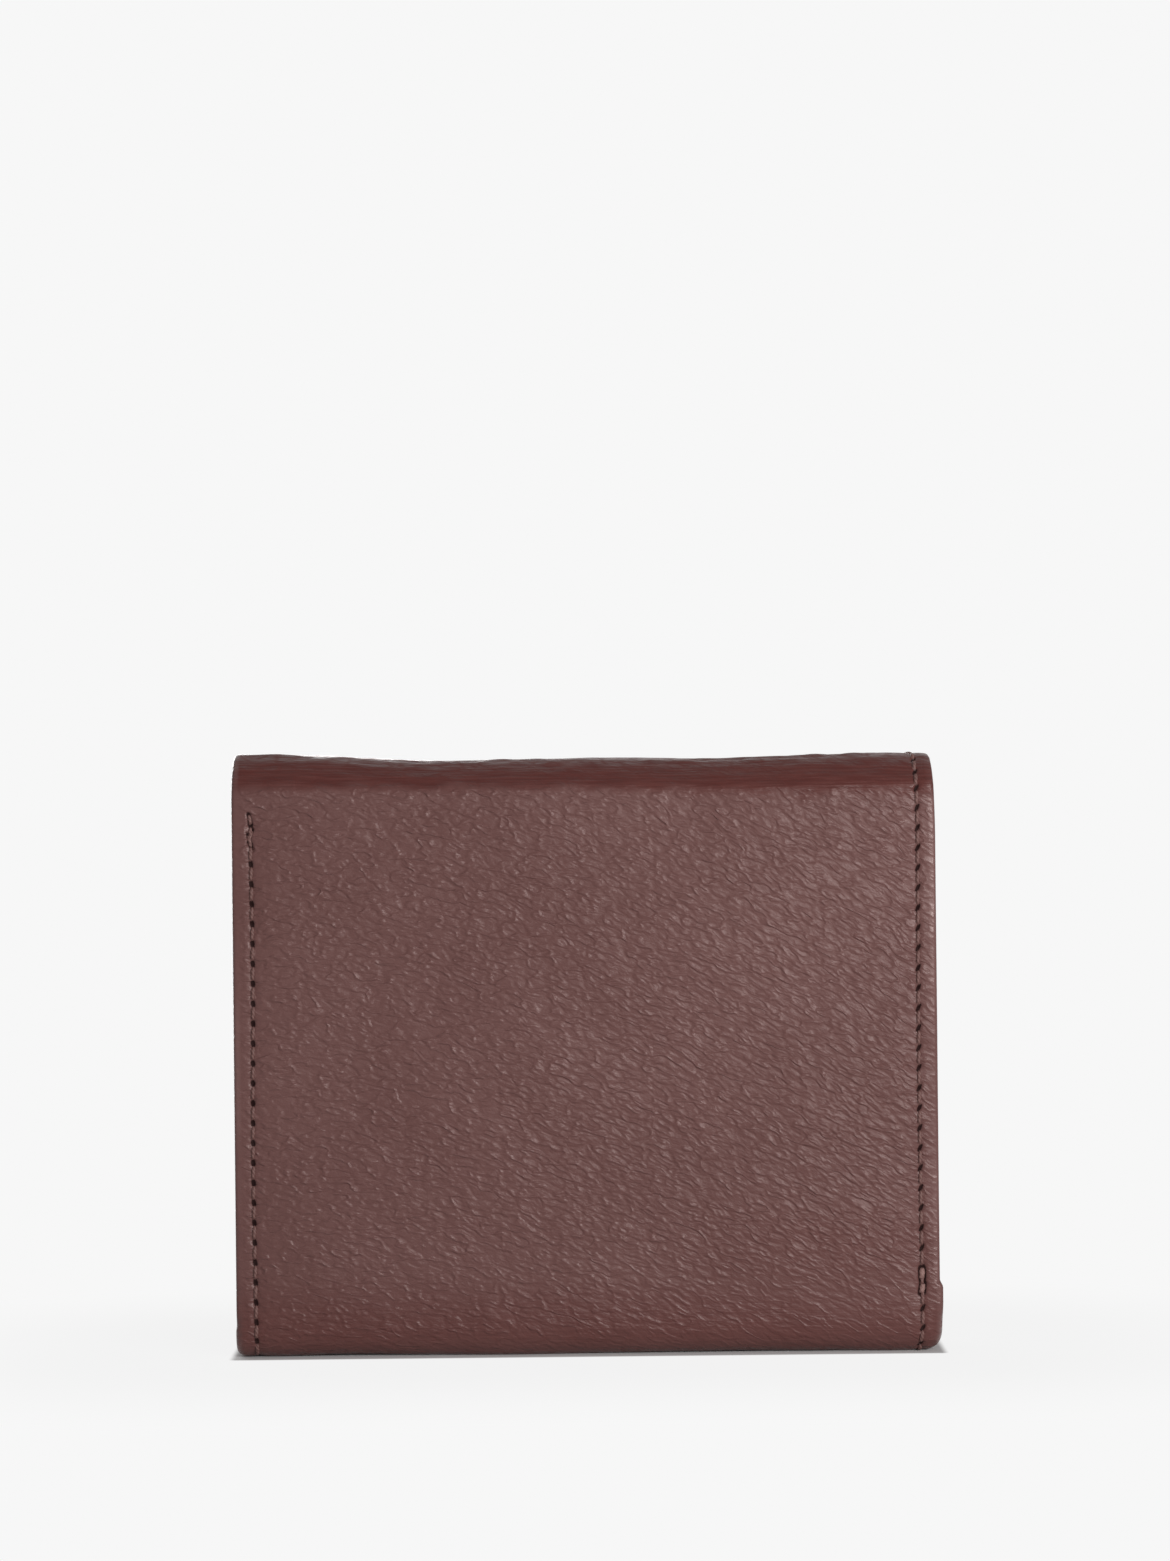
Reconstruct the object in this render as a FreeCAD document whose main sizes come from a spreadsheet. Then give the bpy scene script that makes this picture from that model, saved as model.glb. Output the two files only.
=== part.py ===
"""Compact trifold wallet in pebbled leather, closed and standing on its bottom fold.

Frame: millimetres, +Z up, origin at the centre of the footprint, on the surface it stands on.
The plain back faces -Y, the flap closes over the front at +Y, and the folds run along X.

The leather shell is one long strip that goes from the flap's tip, over the top, down the back,
under the base and up the front panel. It bends at four creases, so it is built as five panels:
flap, top, back, base and front. Each panel has its own frame:
    x  across the wallet, 0 at its middle
    n  depth, from 0 at the leather's outer face towards the inside
    s  distance along the panel, from one of its corners
Layers are stacked in n, and every depth of the wallet is the sum of its layers.
"""
import FreeCAD
import Part
import Sketcher
import math
import os
from types import SimpleNamespace

from FreeCAD import Placement, Rotation, Vector

SIZES = [
    # Overall
    ("shell_width", 105.0, "width of the back, top and flap leather"),
    ("base_extra", 0.8, "how much wider the base and front leather is cut"),
    ("wallet_height", 90.0, "height of the closed wallet"),
    ("flap_tip_height", 14.0, "height of the closed flap's tip above the floor"),
    ("mouth_room", 35.5, "free height over the coin pouch, where the zip pull swings"),
    ("top_bend", 6.0, "outer radius of the two top creases"),
    ("bottom_bend", 3.5, "outer radius of the two bottom creases"),
    ("bend_sweep", 43.5, "degrees of each crease that belong to one panel"),
    ("flap_corner", 9.0, "radius of the flap's tip corners"),
    # Sheet materials
    ("leather", 1.1, "shell leather"),
    ("board", 0.6, "stiffening board"),
    ("lining", 0.4, "lining"),
    ("lining_inset", 1.2, "lining's edge inside the leather's edge"),
    ("board_inset", 2.0, "board's edge inside the leather's edge"),
    # Seams
    ("seam_inset", 2.5, "seam line inside the leather's edge"),
    ("seam_width", 1.0, "width of the groove that the thread lies in"),
    ("seam_depth", 0.35, "depth of that groove, and thickness of the thread"),
    ("stitch_pitch", 3.1, "one stitch to the next"),
    ("stitch_length", 2.3, "one stitch"),
    ("thread_width", 0.6, "width of the thread"),
    ("open_edge", 8.0, "length of the back's left edge, below the top, that isn't sewn"),
    # Bill compartment and card pockets on the back panel
    ("bill_gap", 0.5, "empty bill compartment"),
    ("divider", 0.6, "wall between bills and cards"),
    ("pocket_sheet", 0.5, "one card pocket"),
    ("pocket_gap", 0.15, "clearance between pocket layers"),
    ("pocket_side", 3.5, "pocket's edge inside the leather's edge"),
    ("pocket_foot", 5.0, "height of the pockets' lower edge"),
    ("pocket_drop", 12.0, "highest pocket mouth below the wallet's top"),
    ("pocket_step", 9.0, "one pocket mouth below the next"),
    ("pocket_corner", 2.0, "radius of the pocket mouths' corners"),
    ("panel_gap", 0.9, "clearance between card pockets and front panel"),
    # Coin pouch on the front panel
    ("slip_sheet", 0.6, "slip pocket"),
    ("slip_gap", 0.2, "clearance behind the slip pocket"),
    ("slip_side", 3.4, "slip pocket's edge inside the leather's edge"),
    ("slip_head", 4.0, "slip pocket below the pouch's mouth"),
    ("slip_mouth", 12.0, "slip pocket's mouth above the base"),
    ("backing", 0.8, "leather-covered back of the pouch"),
    ("backing_side", 3.0, "backing's edge inside the leather's edge"),
    ("pouch_depth", 7.3, "inside depth of the coin pouch"),
    ("pouch_side", 5.0, "pouch lining's edge inside the leather's edge"),
    ("pouch_floor", 2.3, "pouch's underside above the floor"),
    ("gusset_sheet", 0.8, "gusset, measured across the wallet"),
    ("gusset_fold", 5.5, "how far the gusset's fold reaches in"),
    ("gusset_gap", 0.4, "gusset's clearance to the pouch's floor and the zip slider"),
    # Zip
    ("tape", 0.5, "zip tape"),
    ("tape_leg", 7.0, "part of the tape that is sewn into the wall"),
    ("zip_drop", 1.4, "tape below the mouth's edge"),
    ("zip_end", 8.5, "end of the coil inside the leather's edge"),
    ("coil_half", 1.95, "outer edge of a coil from the zip's middle"),
    ("coil_gap", 0.2, "inner edge of a coil from the zip's middle"),
    ("coil_height", 1.6, "height of the coil"),
    ("coil_pitch", 1.5, "one turn of the coil to the next"),
    ("coil_turn", 0.8, "length of one turn along the zip"),
    ("coil_cord", 0.9, "width of the cord that the turns stand on"),
    ("stop_length", 2.0, "length of a zip stop"),
    ("slider_length", 8.0, "slider along the zip"),
    ("slider_plate", 0.9, "each plate of the slider"),
    ("slider_gap", 0.2, "slider's clearance to the coil and tape"),
    ("slider_rim", 0.6, "side flange of the slider"),
    ("slider_web", 0.2, "web between the slider's plates"),
    ("ear_sheet", 0.8, "each ear that holds the pull's pin"),
    ("ear_gap", 0.2, "clearance between ear and pull"),
    ("pin_radius", 0.55, "pull's pin"),
    ("pin_gap", 0.08, "clearance of the pull's eye round its pin"),
    ("pin_lift", 1.6, "pin's centre above the slider's top plate"),
    ("eye_radius", 1.3, "outer radius of the pull's eye"),
    ("pull_sheet", 1.1, "thickness of the metal pull"),
    ("pull_width", 2.6, "width of the metal pull"),
    ("pull_length", 8.0, "metal pull, from its pin to its end"),
    ("tab_width", 5.0, "leather tab on the pull"),
    ("tab_length", 15.0, "length of the leather tab"),
    ("tab_lap", 3.6, "part of the metal pull that lies in the tab"),
    ("tab_sheet", 0.7, "leather on each side of the metal pull"),
    # Magnetic snap
    ("snap_inset", 9.5, "snap's centre above the flap's tip"),
    ("snap_radius", 6.0, "snap's outer radius"),
    ("snap_case", 2.6, "height of the case on the flap"),
    ("case_wall", 0.5, "sheet of the case"),
    ("case_mouth", 4.0, "radius of the case's mouth"),
    ("magnet_hole", 3.4, "inner radius of the ring magnet"),
    ("magnet_gap", 0.1, "magnet's clearance in its case"),
    ("snap_gap", 0.4, "clearance between case and button"),
    ("button_flange", 1.1, "flange of the button"),
    ("boss_height", 1.4, "button's boss above its flange"),
    ("boss_foot", 3.2, "boss's radius at the flange"),
    ("boss_tip", 2.2, "boss's radius at its tip"),
    ("patch", 0.8, "leather patch under the button"),
    ("patch_radius", 8.0, "radius of the patch"),
    ("neck_radius", 1.5, "neck that passes through the sheet"),
    ("neck_gap", 0.1, "clearance of holes round the neck"),
    ("washer", 0.4, "washer behind the sheet"),
    ("washer_radius", 5.0, "radius of a washer"),
    # Identity window on the flap's inside
    ("film", 0.2, "clear film"),
    ("frame_sheet", 0.6, "leather frame over the film"),
    ("frame_side", 4.5, "frame's edge inside the leather's edge"),
    ("frame_rail", 6.5, "width of the frame's rails"),
    ("frame_gap", 1.0, "clearance between frame and snap"),
    ("frame_corner", 3.0, "radius of the frame's window"),
    ("film_lap", 3.0, "film under the frame's rails"),
]
CARD_POCKETS = 4
# A quarter bend's middle lies this share of its radius inside the corner, along both faces
MID_BEND = 1 - math.sqrt(0.5)

doc = FreeCAD.newDocument("trifold_wallet")
sheet = doc.addObject("Spreadsheet::Sheet", "Sizes")
for row, (alias, number, note) in enumerate(SIZES, 1):
    sheet.set(f"A{row}", note)
    sheet.set(f"B{row}", str(number))
    sheet.setAlias(f"B{row}", alias)
doc.recompute()


class Size:
    """A dimension that carries its number and the sheet formula behind it."""

    def __init__(self, number, formula):
        self.number = number
        self.formula = formula

    def __add__(self, other):
        other = as_size(other)
        return Size(self.number + other.number, f"({self.formula} + {other.formula})")

    def __sub__(self, other):
        other = as_size(other)
        return Size(self.number - other.number, f"({self.formula} - {other.formula})")

    def __mul__(self, other):
        other = as_size(other)
        return Size(self.number * other.number, f"({self.formula} * {other.formula})")

    def __truediv__(self, other):
        other = as_size(other)
        return Size(self.number / other.number, f"({self.formula} / {other.formula})")

    def __neg__(self):
        return as_size(0) - self


def as_size(value):
    return value if isinstance(value, Size) else Size(float(value), str(float(value)))


def cosine(angle):
    return Size(math.cos(math.radians(angle.number)), f"cos({angle.formula})")


def sine(angle):
    return Size(math.sin(math.radians(angle.number)), f"sin({angle.formula})")


def whole(amount):
    return Size(math.floor(amount.number), f"floor({amount.formula})")


def bind(thing, path, amount):
    thing.setExpression(path, as_size(amount).formula)


dim = SimpleNamespace(**{alias: Size(getattr(sheet, alias), f"Sizes.{alias}") for alias, _, _ in SIZES})

# Depths, from the layers that make them up
slot_pitch = dim.pocket_sheet + dim.pocket_gap
divider_n = dim.leather + dim.board + dim.lining + dim.bill_gap
first_pocket_n = divider_n + dim.divider + dim.pocket_gap
back_stack = first_pocket_n + slot_pitch * (CARD_POCKETS - 1) + dim.pocket_sheet
front_lining_n = dim.leather + dim.tape
pouch_n = front_lining_n + dim.lining
rear_lining_n = pouch_n + dim.pouch_depth
rear_tape_n = rear_lining_n + dim.lining
backing_n = rear_tape_n + dim.tape
slip_n = backing_n + dim.backing + dim.slip_gap
front_stack = slip_n + dim.slip_sheet
base_depth = back_stack + dim.panel_gap + front_stack
flap_sheet = dim.leather + dim.board + dim.lining
snap_stack = dim.snap_case + dim.snap_gap + dim.button_flange + dim.patch
top_depth = base_depth + snap_stack + flap_sheet

# Lengths of the panels, and places along them
base_width = dim.shell_width + dim.base_extra
flap_length = dim.wallet_height - dim.flap_tip_height
front_height = dim.wallet_height - dim.mouth_room
snap_height = dim.flap_tip_height + dim.snap_inset
flap_snap_s = dim.wallet_height - snap_height
front_snap_s = front_height - snap_height
zip_n = (front_lining_n + rear_tape_n) / 2
zip_length = dim.shell_width - dim.zip_end * 2
coil_s = dim.zip_drop + dim.tape / 2
coil_top_s = coil_s - dim.coil_height / 2
coil_low_s = coil_s + dim.coil_height / 2
slider_top_s = coil_top_s - dim.slider_gap - dim.slider_plate
slider_low_s = coil_low_s + dim.slider_gap + dim.slider_plate
pin_s = slider_top_s - dim.pin_lift
slider_x = zip_length / 2 - dim.slider_length / 2 - dim.slider_gap
ear_inner = dim.pull_width / 2 + dim.ear_gap

# Each frame: world y and z of its corner (n = 0, s = 0), and its turn about X in degrees
BACK = (-top_depth / 2, as_size(0), 0)
TOP = (-top_depth / 2, dim.wallet_height, -90)
FLAP = (top_depth / 2, dim.wallet_height, 180)
BASE = (base_depth - top_depth / 2, as_size(0), 90)
FRONT = (base_depth - top_depth / 2, front_height, 180)


def place(thing, frame, x=0, n=0, s=0):
    """Puts an object's own origin at (x, n, s) of a panel's frame."""
    y, z, turn = frame
    along_y, along_z = {
        0: (as_size(n), as_size(s)),
        180: (-as_size(n), -as_size(s)),
        -90: (as_size(s), -as_size(n)),
        90: (-as_size(s), as_size(n)),
    }[turn]
    thing.Placement = Placement(Vector(), Rotation(Vector(1, 0, 0), turn))
    bind(thing, "Placement.Base.x", x)
    bind(thing, "Placement.Base.y", y + along_y)
    bind(thing, "Placement.Base.z", z + along_z)


def new_body(label):
    body = doc.addObject("PartDesign::Body", label)
    body.Label = label
    return body


def fix(sketch, kind, geometry, point, amount):
    """Holds a sketch point at a distance from the sketch's origin."""
    amount = as_size(amount)
    index = sketch.addConstraint(Sketcher.Constraint(kind, -1, 1, geometry, point, amount.number))
    sketch.setExpression(f"Constraints[{index}]", amount.formula)


def add_loop(sketch, corners):
    """Closed outline. Each corner is (x, y, arc); arc is (centre x, centre y, radius) or None for a line."""
    edges = []
    for index, (x, y, arc) in enumerate(corners):
        next_x, next_y, _ = corners[(index + 1) % len(corners)]
        start = Vector(as_size(x).number, as_size(y).number)
        end = Vector(as_size(next_x).number, as_size(next_y).number)
        if arc is None:
            edges.append((sketch.addGeometry(Part.LineSegment(start, end)), 1, 2))
            continue
        centre = Vector(as_size(arc[0]).number, as_size(arc[1]).number)
        radius = as_size(arc[2])
        counterclockwise = (start - centre).cross(end - centre).z > 0
        first, last = (start, end) if counterclockwise else (end, start)
        angles = [math.atan2(p.y - centre.y, p.x - centre.x) for p in (first, last)]
        circle = Part.Circle(centre, Vector(0, 0, 1), radius.number)
        geometry = sketch.addGeometry(Part.ArcOfCircle(circle, *angles))
        index = sketch.addConstraint(Sketcher.Constraint("Radius", geometry, radius.number))
        sketch.setExpression(f"Constraints[{index}]", radius.formula)
        edges.append((geometry, 1, 2) if counterclockwise else (geometry, 2, 1))
    for index, (geometry, first, last) in enumerate(edges):
        following = edges[(index + 1) % len(edges)]
        sketch.addConstraint(Sketcher.Constraint("Coincident", geometry, last, following[0], following[1]))
        fix(sketch, "DistanceX", geometry, first, corners[index][0])
        fix(sketch, "DistanceY", geometry, first, corners[index][1])


def add_circle(sketch, x, y, radius):
    geometry = sketch.addGeometry(
        Part.Circle(Vector(as_size(x).number, as_size(y).number), Vector(0, 0, 1), radius.number)
    )
    fix(sketch, "DistanceX", geometry, 3, x)
    fix(sketch, "DistanceY", geometry, 3, y)
    index = sketch.addConstraint(Sketcher.Constraint("Radius", geometry, radius.number))
    sketch.setExpression(f"Constraints[{index}]", radius.formula)


def draw(body, plane, loops, circles=()):
    """A sketch on one of the body's own origin planes."""
    sketch = body.newObject("Sketcher::SketchObject", f"{body.Name}_sketch")
    support = next(f for f in body.Origin.OriginFeatures if f.Role == plane)
    sketch.AttachmentSupport = [(support, "")]
    sketch.MapMode = "FlatFace"
    for corners in loops:
        add_loop(sketch, corners)
    for circle in circles:
        add_circle(sketch, *circle)
    return sketch


def pad(body, sketch, length, kind="Pad"):
    """Pad or Pocket, the same distance to both sides of its sketch."""
    feature = body.newObject(f"PartDesign::{kind}", f"{body.Name}_{kind.lower()}")
    feature.Profile = sketch
    feature.SideType = "Symmetric"
    bind(feature, "Length", length)
    return feature


def rectangle(x0, x1, y0, y1):
    return [(x0, y0, None), (x1, y0, None), (x1, y1, None), (x0, y1, None)]


def panel_outline(width, start, end, start_radius=None, end_radius=None):
    """A rectangle across x, from s = start to s = end, whose ends may have round corners."""
    half = width / 2
    corners = []
    if start_radius:
        r = start_radius
        corners += [(-half, start + r, (r - half, start + r, r)), (r - half, start, None)]
        corners += [(half - r, start, (half - r, start + r, r)), (half, start + r, None)]
    else:
        corners += [(-half, start, None), (half, start, None)]
    if end_radius:
        r = end_radius
        corners += [(half, end - r, (half - r, end - r, r)), (half - r, end, None)]
        corners += [(r - half, end, (r - half, end - r, r)), (-half, end - r, None)]
    else:
        corners += [(half, end, None), (-half, end, None)]
    return corners


def slab(label, frame, width, n, thickness, start, end):
    """A plain rectangular sheet."""
    box = doc.addObject("Part::Box", label)
    box.Label = label
    bind(box, "Length", width)
    bind(box, "Width", thickness)
    bind(box, "Height", as_size(end) - start)
    place(box, frame, -as_size(width) / 2, n, start)
    return box


def plate(label, frame, n, thickness, loops, circles=()):
    """A sheet cut to an outline in (x, s), with any windows and round holes."""
    body = new_body(label)
    pad(body, draw(body, "XZ_Plane", loops, circles), thickness)
    place(body, frame, 0, as_size(n) + as_size(thickness) / 2, 0)
    return body


def extrusion(label, frame, width, loops, x=0):
    """A section in (n, s), the same all across its width."""
    body = new_body(label)
    pad(body, draw(body, "YZ_Plane", loops), width)
    place(body, frame, x)
    return body


def turned(label, frame, s, profile):
    """A round part about the n axis, from its half section in (radius, n)."""
    body = new_body(label)
    sketch = draw(body, "XY_Plane", [profile])
    turn = body.newObject("PartDesign::Revolution", f"{body.Name}_revolution")
    turn.Profile = sketch
    turn.ReferenceAxis = (sketch, ["V_Axis"])
    turn.Angle = 360
    place(body, frame, 0, 0, s)
    return body


def shell_section(length, bends):
    """Section of a leather panel: flat, with its share of the crease at each end that has a bend radius."""
    thick = dim.leather
    cos_part, sin_part = cosine(dim.bend_sweep), sine(dim.bend_sweep)

    def arc_end(bend, radius):
        return bend - radius * cos_part, bend - radius * sin_part

    first, last = bends
    outer_start, inner_start = [(0, 0, None)], [(thick, 0, None)]
    if first:
        n, s = arc_end(first, first)
        outer_start = [(n, s, (first, first, first)), (0, first, None)]
        n, s = arc_end(first, first - thick)
        inner_start = [(thick, first, (first, first, first - thick)), (n, s, None)]
    outer_end, inner_end = [(0, length, None)], [(thick, length, None)]
    if last:
        n, s = arc_end(last, last)
        outer_end = [(0, length - last, (last, length - last, last)), (n, length - s, None)]
        n, s = arc_end(last, last - thick)
        inner_end = [(n, length - s, (last, length - last, last - thick)), (thick, length - last, None)]
    return outer_start + outer_end + inner_end + inner_start


def shell_panel(label, frame, width, length, bends, grooves, holes=()):
    """One leather panel of the shell, with its seam grooves and holes cut into the outer face."""
    body = extrusion(label, frame, width, [shell_section(length, bends)])
    body.Tip = pad(body, draw(body, "XZ_Plane", grooves), dim.seam_depth * 2, "Pocket")
    if holes:
        body.Tip = pad(body, draw(body, "XZ_Plane", [], holes), dim.leather * 3, "Pocket")
    return body


def side_groove(width, side, start, end):
    """Groove along one side edge: side is -1 on the left of the back view and 1 on its right."""
    middle = (width / 2 - dim.seam_inset) * side
    half = dim.seam_width / 2
    return rectangle(middle - half, middle + half, start, end)


def cross_groove(width, s):
    """Groove across a panel, between its two side seams."""
    reach = width / 2 - dim.seam_inset - dim.seam_width
    half = dim.seam_width / 2
    return rectangle(-reach, reach, as_size(s) - half, as_size(s) + half)


def stitch_row(label, frame, axis, across, start, end):
    """Stitches in a groove. axis is Z for a row along s at x = across, or X for a row along x at s = across."""
    body = new_body(label)
    body.AllowCompound = True
    radius = dim.thread_width / 2
    head, tail = as_size(start) + radius, as_size(start) + dim.stitch_length - radius
    low, high = as_size(across) - radius, as_size(across) + radius
    if axis == "Z":
        loop = [(low, head, (across, head, radius)), (across, head - radius, (across, head, radius)),
                (high, head, None), (high, tail, (across, tail, radius)),
                (across, tail + radius, (across, tail, radius)), (low, tail, None)]
    else:
        loop = [(head, high, (head, across, radius)), (head - radius, across, (head, across, radius)),
                (head, low, None), (tail, low, (tail, across, radius)),
                (tail + radius, across, (tail, across, radius)), (tail, high, None)]
    first = pad(body, draw(body, "XZ_Plane", [loop]), dim.seam_depth)
    count = whole((as_size(end) - start - dim.stitch_length) / dim.stitch_pitch) + 1
    repeat(body, first, axis, dim.stitch_pitch, count)
    place(body, frame, 0, dim.seam_depth / 2, 0)
    return body


def repeat(body, feature, axis, pitch, count):
    """Linear pattern of a feature along one of the body's own axes."""
    pattern = body.newObject("PartDesign::LinearPattern", f"{body.Name}_pattern")
    pattern.Originals = [feature]
    line = next(f for f in body.Origin.OriginFeatures if f.Role == f"{axis}_Axis")
    pattern.Direction = (line, [""])
    bind(pattern, "Length", pitch * (count - 1))
    bind(pattern, "Occurrences", count)
    body.Tip = pattern


def side_x(width, side):
    return (width / 2 - dim.seam_inset) * side


def build_back():
    """Back panel: leather, board, bill compartment and card pockets."""
    width, height = dim.shell_width, dim.wallet_height
    low, high = dim.bottom_bend, height - dim.top_bend
    left_end = height - dim.open_edge
    grooves = [side_groove(width, -1, low, left_end), side_groove(width, 1, low, high)]
    shell_panel("shell_back", BACK, width, height, (dim.bottom_bend, dim.top_bend), grooves)
    stitch_row("back_thread_left", BACK, "Z", side_x(width, -1), low, left_end)
    stitch_row("back_thread_right", BACK, "Z", side_x(width, 1), low, high)
    slab("back_board", BACK, width - dim.board_inset * 2, dim.leather, dim.board, low, high)
    lined = width - dim.lining_inset * 2
    slab("back_lining", BACK, lined, dim.leather + dim.board, dim.lining, low, high)
    slab("bill_divider", BACK, lined, divider_n, dim.divider, low, high)
    across = width - dim.pocket_side * 2
    for number in range(CARD_POCKETS):
        mouth = height - dim.pocket_drop - dim.pocket_step * number
        outline = panel_outline(across, dim.pocket_foot, mouth, None, dim.pocket_corner)
        n = first_pocket_n + slot_pitch * number
        plate(f"card_pocket_{number + 1}", BACK, n, dim.pocket_sheet, [outline])


def build_top():
    """Top panel, which spans the wallet's depth over the folded stack."""
    width = dim.shell_width
    start, end = dim.top_bend, top_depth - dim.top_bend
    grooves = [side_groove(width, 1, start, end)]
    shell_panel("shell_top", TOP, width, top_depth, (dim.top_bend, dim.top_bend), grooves)
    stitch_row("top_thread_right", TOP, "Z", side_x(width, 1), start, end)
    slab("top_lining", TOP, width - dim.lining_inset * 2, dim.leather, dim.lining, start, end)


def build_flap():
    """Flap: leather, board and lining with round tip corners, and the identity window inside."""
    width, tip = dim.shell_width, flap_length
    start, end = dim.top_bend, tip - dim.flap_corner
    seam_s = tip - dim.seam_inset
    grooves = [side_groove(width, side, start, end) for side in (-1, 1)]
    reach = width / 2 - dim.flap_corner
    half = dim.seam_width / 2
    grooves.append(rectangle(-reach, reach, seam_s - half, seam_s + half))
    shell = shell_panel("shell_flap", FLAP, width, tip, (dim.top_bend, None), grooves)
    round_tip(shell, tip)
    stitch_row("flap_thread_left", FLAP, "Z", side_x(width, -1), start, end)
    stitch_row("flap_thread_right", FLAP, "Z", side_x(width, 1), start, end)
    stitch_row("flap_thread_tip", FLAP, "X", seam_s, -reach, reach)

    board = panel_outline(width - dim.board_inset * 2, start, tip - dim.board_inset,
                          None, dim.flap_corner - dim.board_inset)
    washer_hole = [(0, flap_snap_s, dim.washer_radius + dim.neck_gap)]
    plate("flap_board", FLAP, dim.leather, dim.board, [board], washer_hole)
    lining = panel_outline(width - dim.lining_inset * 2, start, tip - dim.lining_inset,
                           None, dim.flap_corner - dim.lining_inset)
    neck_hole = [(0, flap_snap_s, dim.neck_radius + dim.neck_gap)]
    plate("flap_lining", FLAP, dim.leather + dim.board, dim.lining, [lining], neck_hole)

    across = width - dim.frame_side * 2
    frame_end = flap_snap_s - dim.snap_radius - dim.frame_gap
    outer = panel_outline(across, start, frame_end, None, dim.frame_corner)
    rail = dim.frame_rail
    window = panel_outline(across - rail * 2, start + rail, frame_end - rail, dim.frame_corner, dim.frame_corner)
    plate("id_frame", FLAP, flap_sheet + dim.film, dim.frame_sheet, [outer, window])
    lap = rail - dim.film_lap
    slab("id_film", FLAP, across - lap * 2, flap_sheet, dim.film, start + lap, frame_end - lap)


def round_tip(body, tip):
    """Rounds the two corners at the flap's tip, whose edges run through the leather."""
    doc.recompute()
    solid = body.Tip
    names = []
    for index, edge in enumerate(solid.Shape.Edges, 1):
        first, last = edge.Vertexes[0].Point, edge.Vertexes[-1].Point
        at_tip = abs(first.z - tip.number) < 0.01 and abs(last.z - tip.number) < 0.01
        at_side = abs(abs(first.x) - dim.shell_width.number / 2) < 0.01
        if at_tip and at_side and abs(first.x - last.x) < 0.01:
            names.append(f"Edge{index}")
    fillet = body.newObject("PartDesign::Fillet", f"{body.Name}_fillet")
    fillet.Base = (solid, names)
    bind(fillet, "Radius", dim.flap_corner)
    body.Tip = fillet


def build_base():
    """Base panel, which the closed wallet stands on."""
    start, end = dim.bottom_bend, base_depth - dim.bottom_bend
    grooves = [side_groove(base_width, side, start, end) for side in (-1, 1)]
    shell_panel("shell_base", BASE, base_width, base_depth, (dim.bottom_bend, dim.bottom_bend), grooves)
    for name, side in (("left", -1), ("right", 1)):
        stitch_row(f"base_thread_{name}", BASE, "Z", side_x(base_width, side), start, end)
    slab("base_lining", BASE, base_width - dim.lining_inset * 2, dim.leather, dim.lining, start, end)


def build_front():
    """Front panel: leather outside, coin pouch, and a slip pocket towards the cards."""
    width, height = base_width, front_height
    start, end = dim.seam_inset * 2, height - dim.bottom_bend
    grooves = [side_groove(width, side, start, end) for side in (-1, 1)]
    grooves.append(cross_groove(width, dim.seam_inset))
    hole = [(0, front_snap_s, dim.neck_radius + dim.neck_gap)]
    shell_panel("shell_front", FRONT, width, height, (None, dim.bottom_bend), grooves, hole)
    for name, side in (("left", -1), ("right", 1)):
        stitch_row(f"front_thread_{name}", FRONT, "Z", side_x(width, side), start, end)
    reach = width / 2 - dim.seam_inset - dim.seam_width
    stitch_row("front_thread_mouth", FRONT, "X", dim.seam_inset, -reach, reach)

    floor_s = height - dim.pouch_floor
    pouch_lining(dim.zip_drop + dim.tape, floor_s)
    gussets(slider_low_s + dim.gusset_gap, floor_s - dim.lining - dim.gusset_gap)
    slab("pouch_backing", FRONT, width - dim.backing_side * 2, backing_n, dim.backing, dim.zip_drop, floor_s)
    slip = panel_outline(width - dim.slip_side * 2, dim.slip_head, height - dim.slip_mouth,
                         None, dim.pocket_corner)
    plate("slip_pocket", FRONT, slip_n, dim.slip_sheet, [slip])


def pouch_lining(mouth_s, floor_s):
    """Lining of the coin pouch, one sheet down the front wall, across the floor and up the rear wall."""
    outer_front, outer_rear = front_lining_n, rear_tape_n
    section = [
        (outer_front, mouth_s, None), (outer_front, floor_s, None), (outer_rear, floor_s, None),
        (outer_rear, mouth_s, None), (rear_lining_n, mouth_s, None), (rear_lining_n, floor_s - dim.lining, None),
        (pouch_n, floor_s - dim.lining, None), (pouch_n, mouth_s, None),
    ]
    extrusion("pouch_lining", FRONT, base_width - dim.pouch_side * 2, [section])


def gussets(start, end):
    """The pouch's two end walls, folded inwards so that the mouth can open."""
    edge = base_width / 2 - dim.pouch_side
    middle = (pouch_n + rear_lining_n) / 2
    for name, side in (("left", -1), ("right", 1)):
        outer = edge * side
        inner = (edge - dim.gusset_sheet) * side
        fold = dim.gusset_fold * side
        loop = [
            (outer, pouch_n, None), (outer - fold, middle, None), (outer, rear_lining_n, None),
            (inner, rear_lining_n, None), (inner - fold, middle, None), (inner, pouch_n, None),
        ]
        body = new_body(f"gusset_{name}")
        pad(body, draw(body, "XY_Plane", [loop]), end - start)
        place(body, FRONT, 0, 0, (start + end) / 2)


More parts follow.
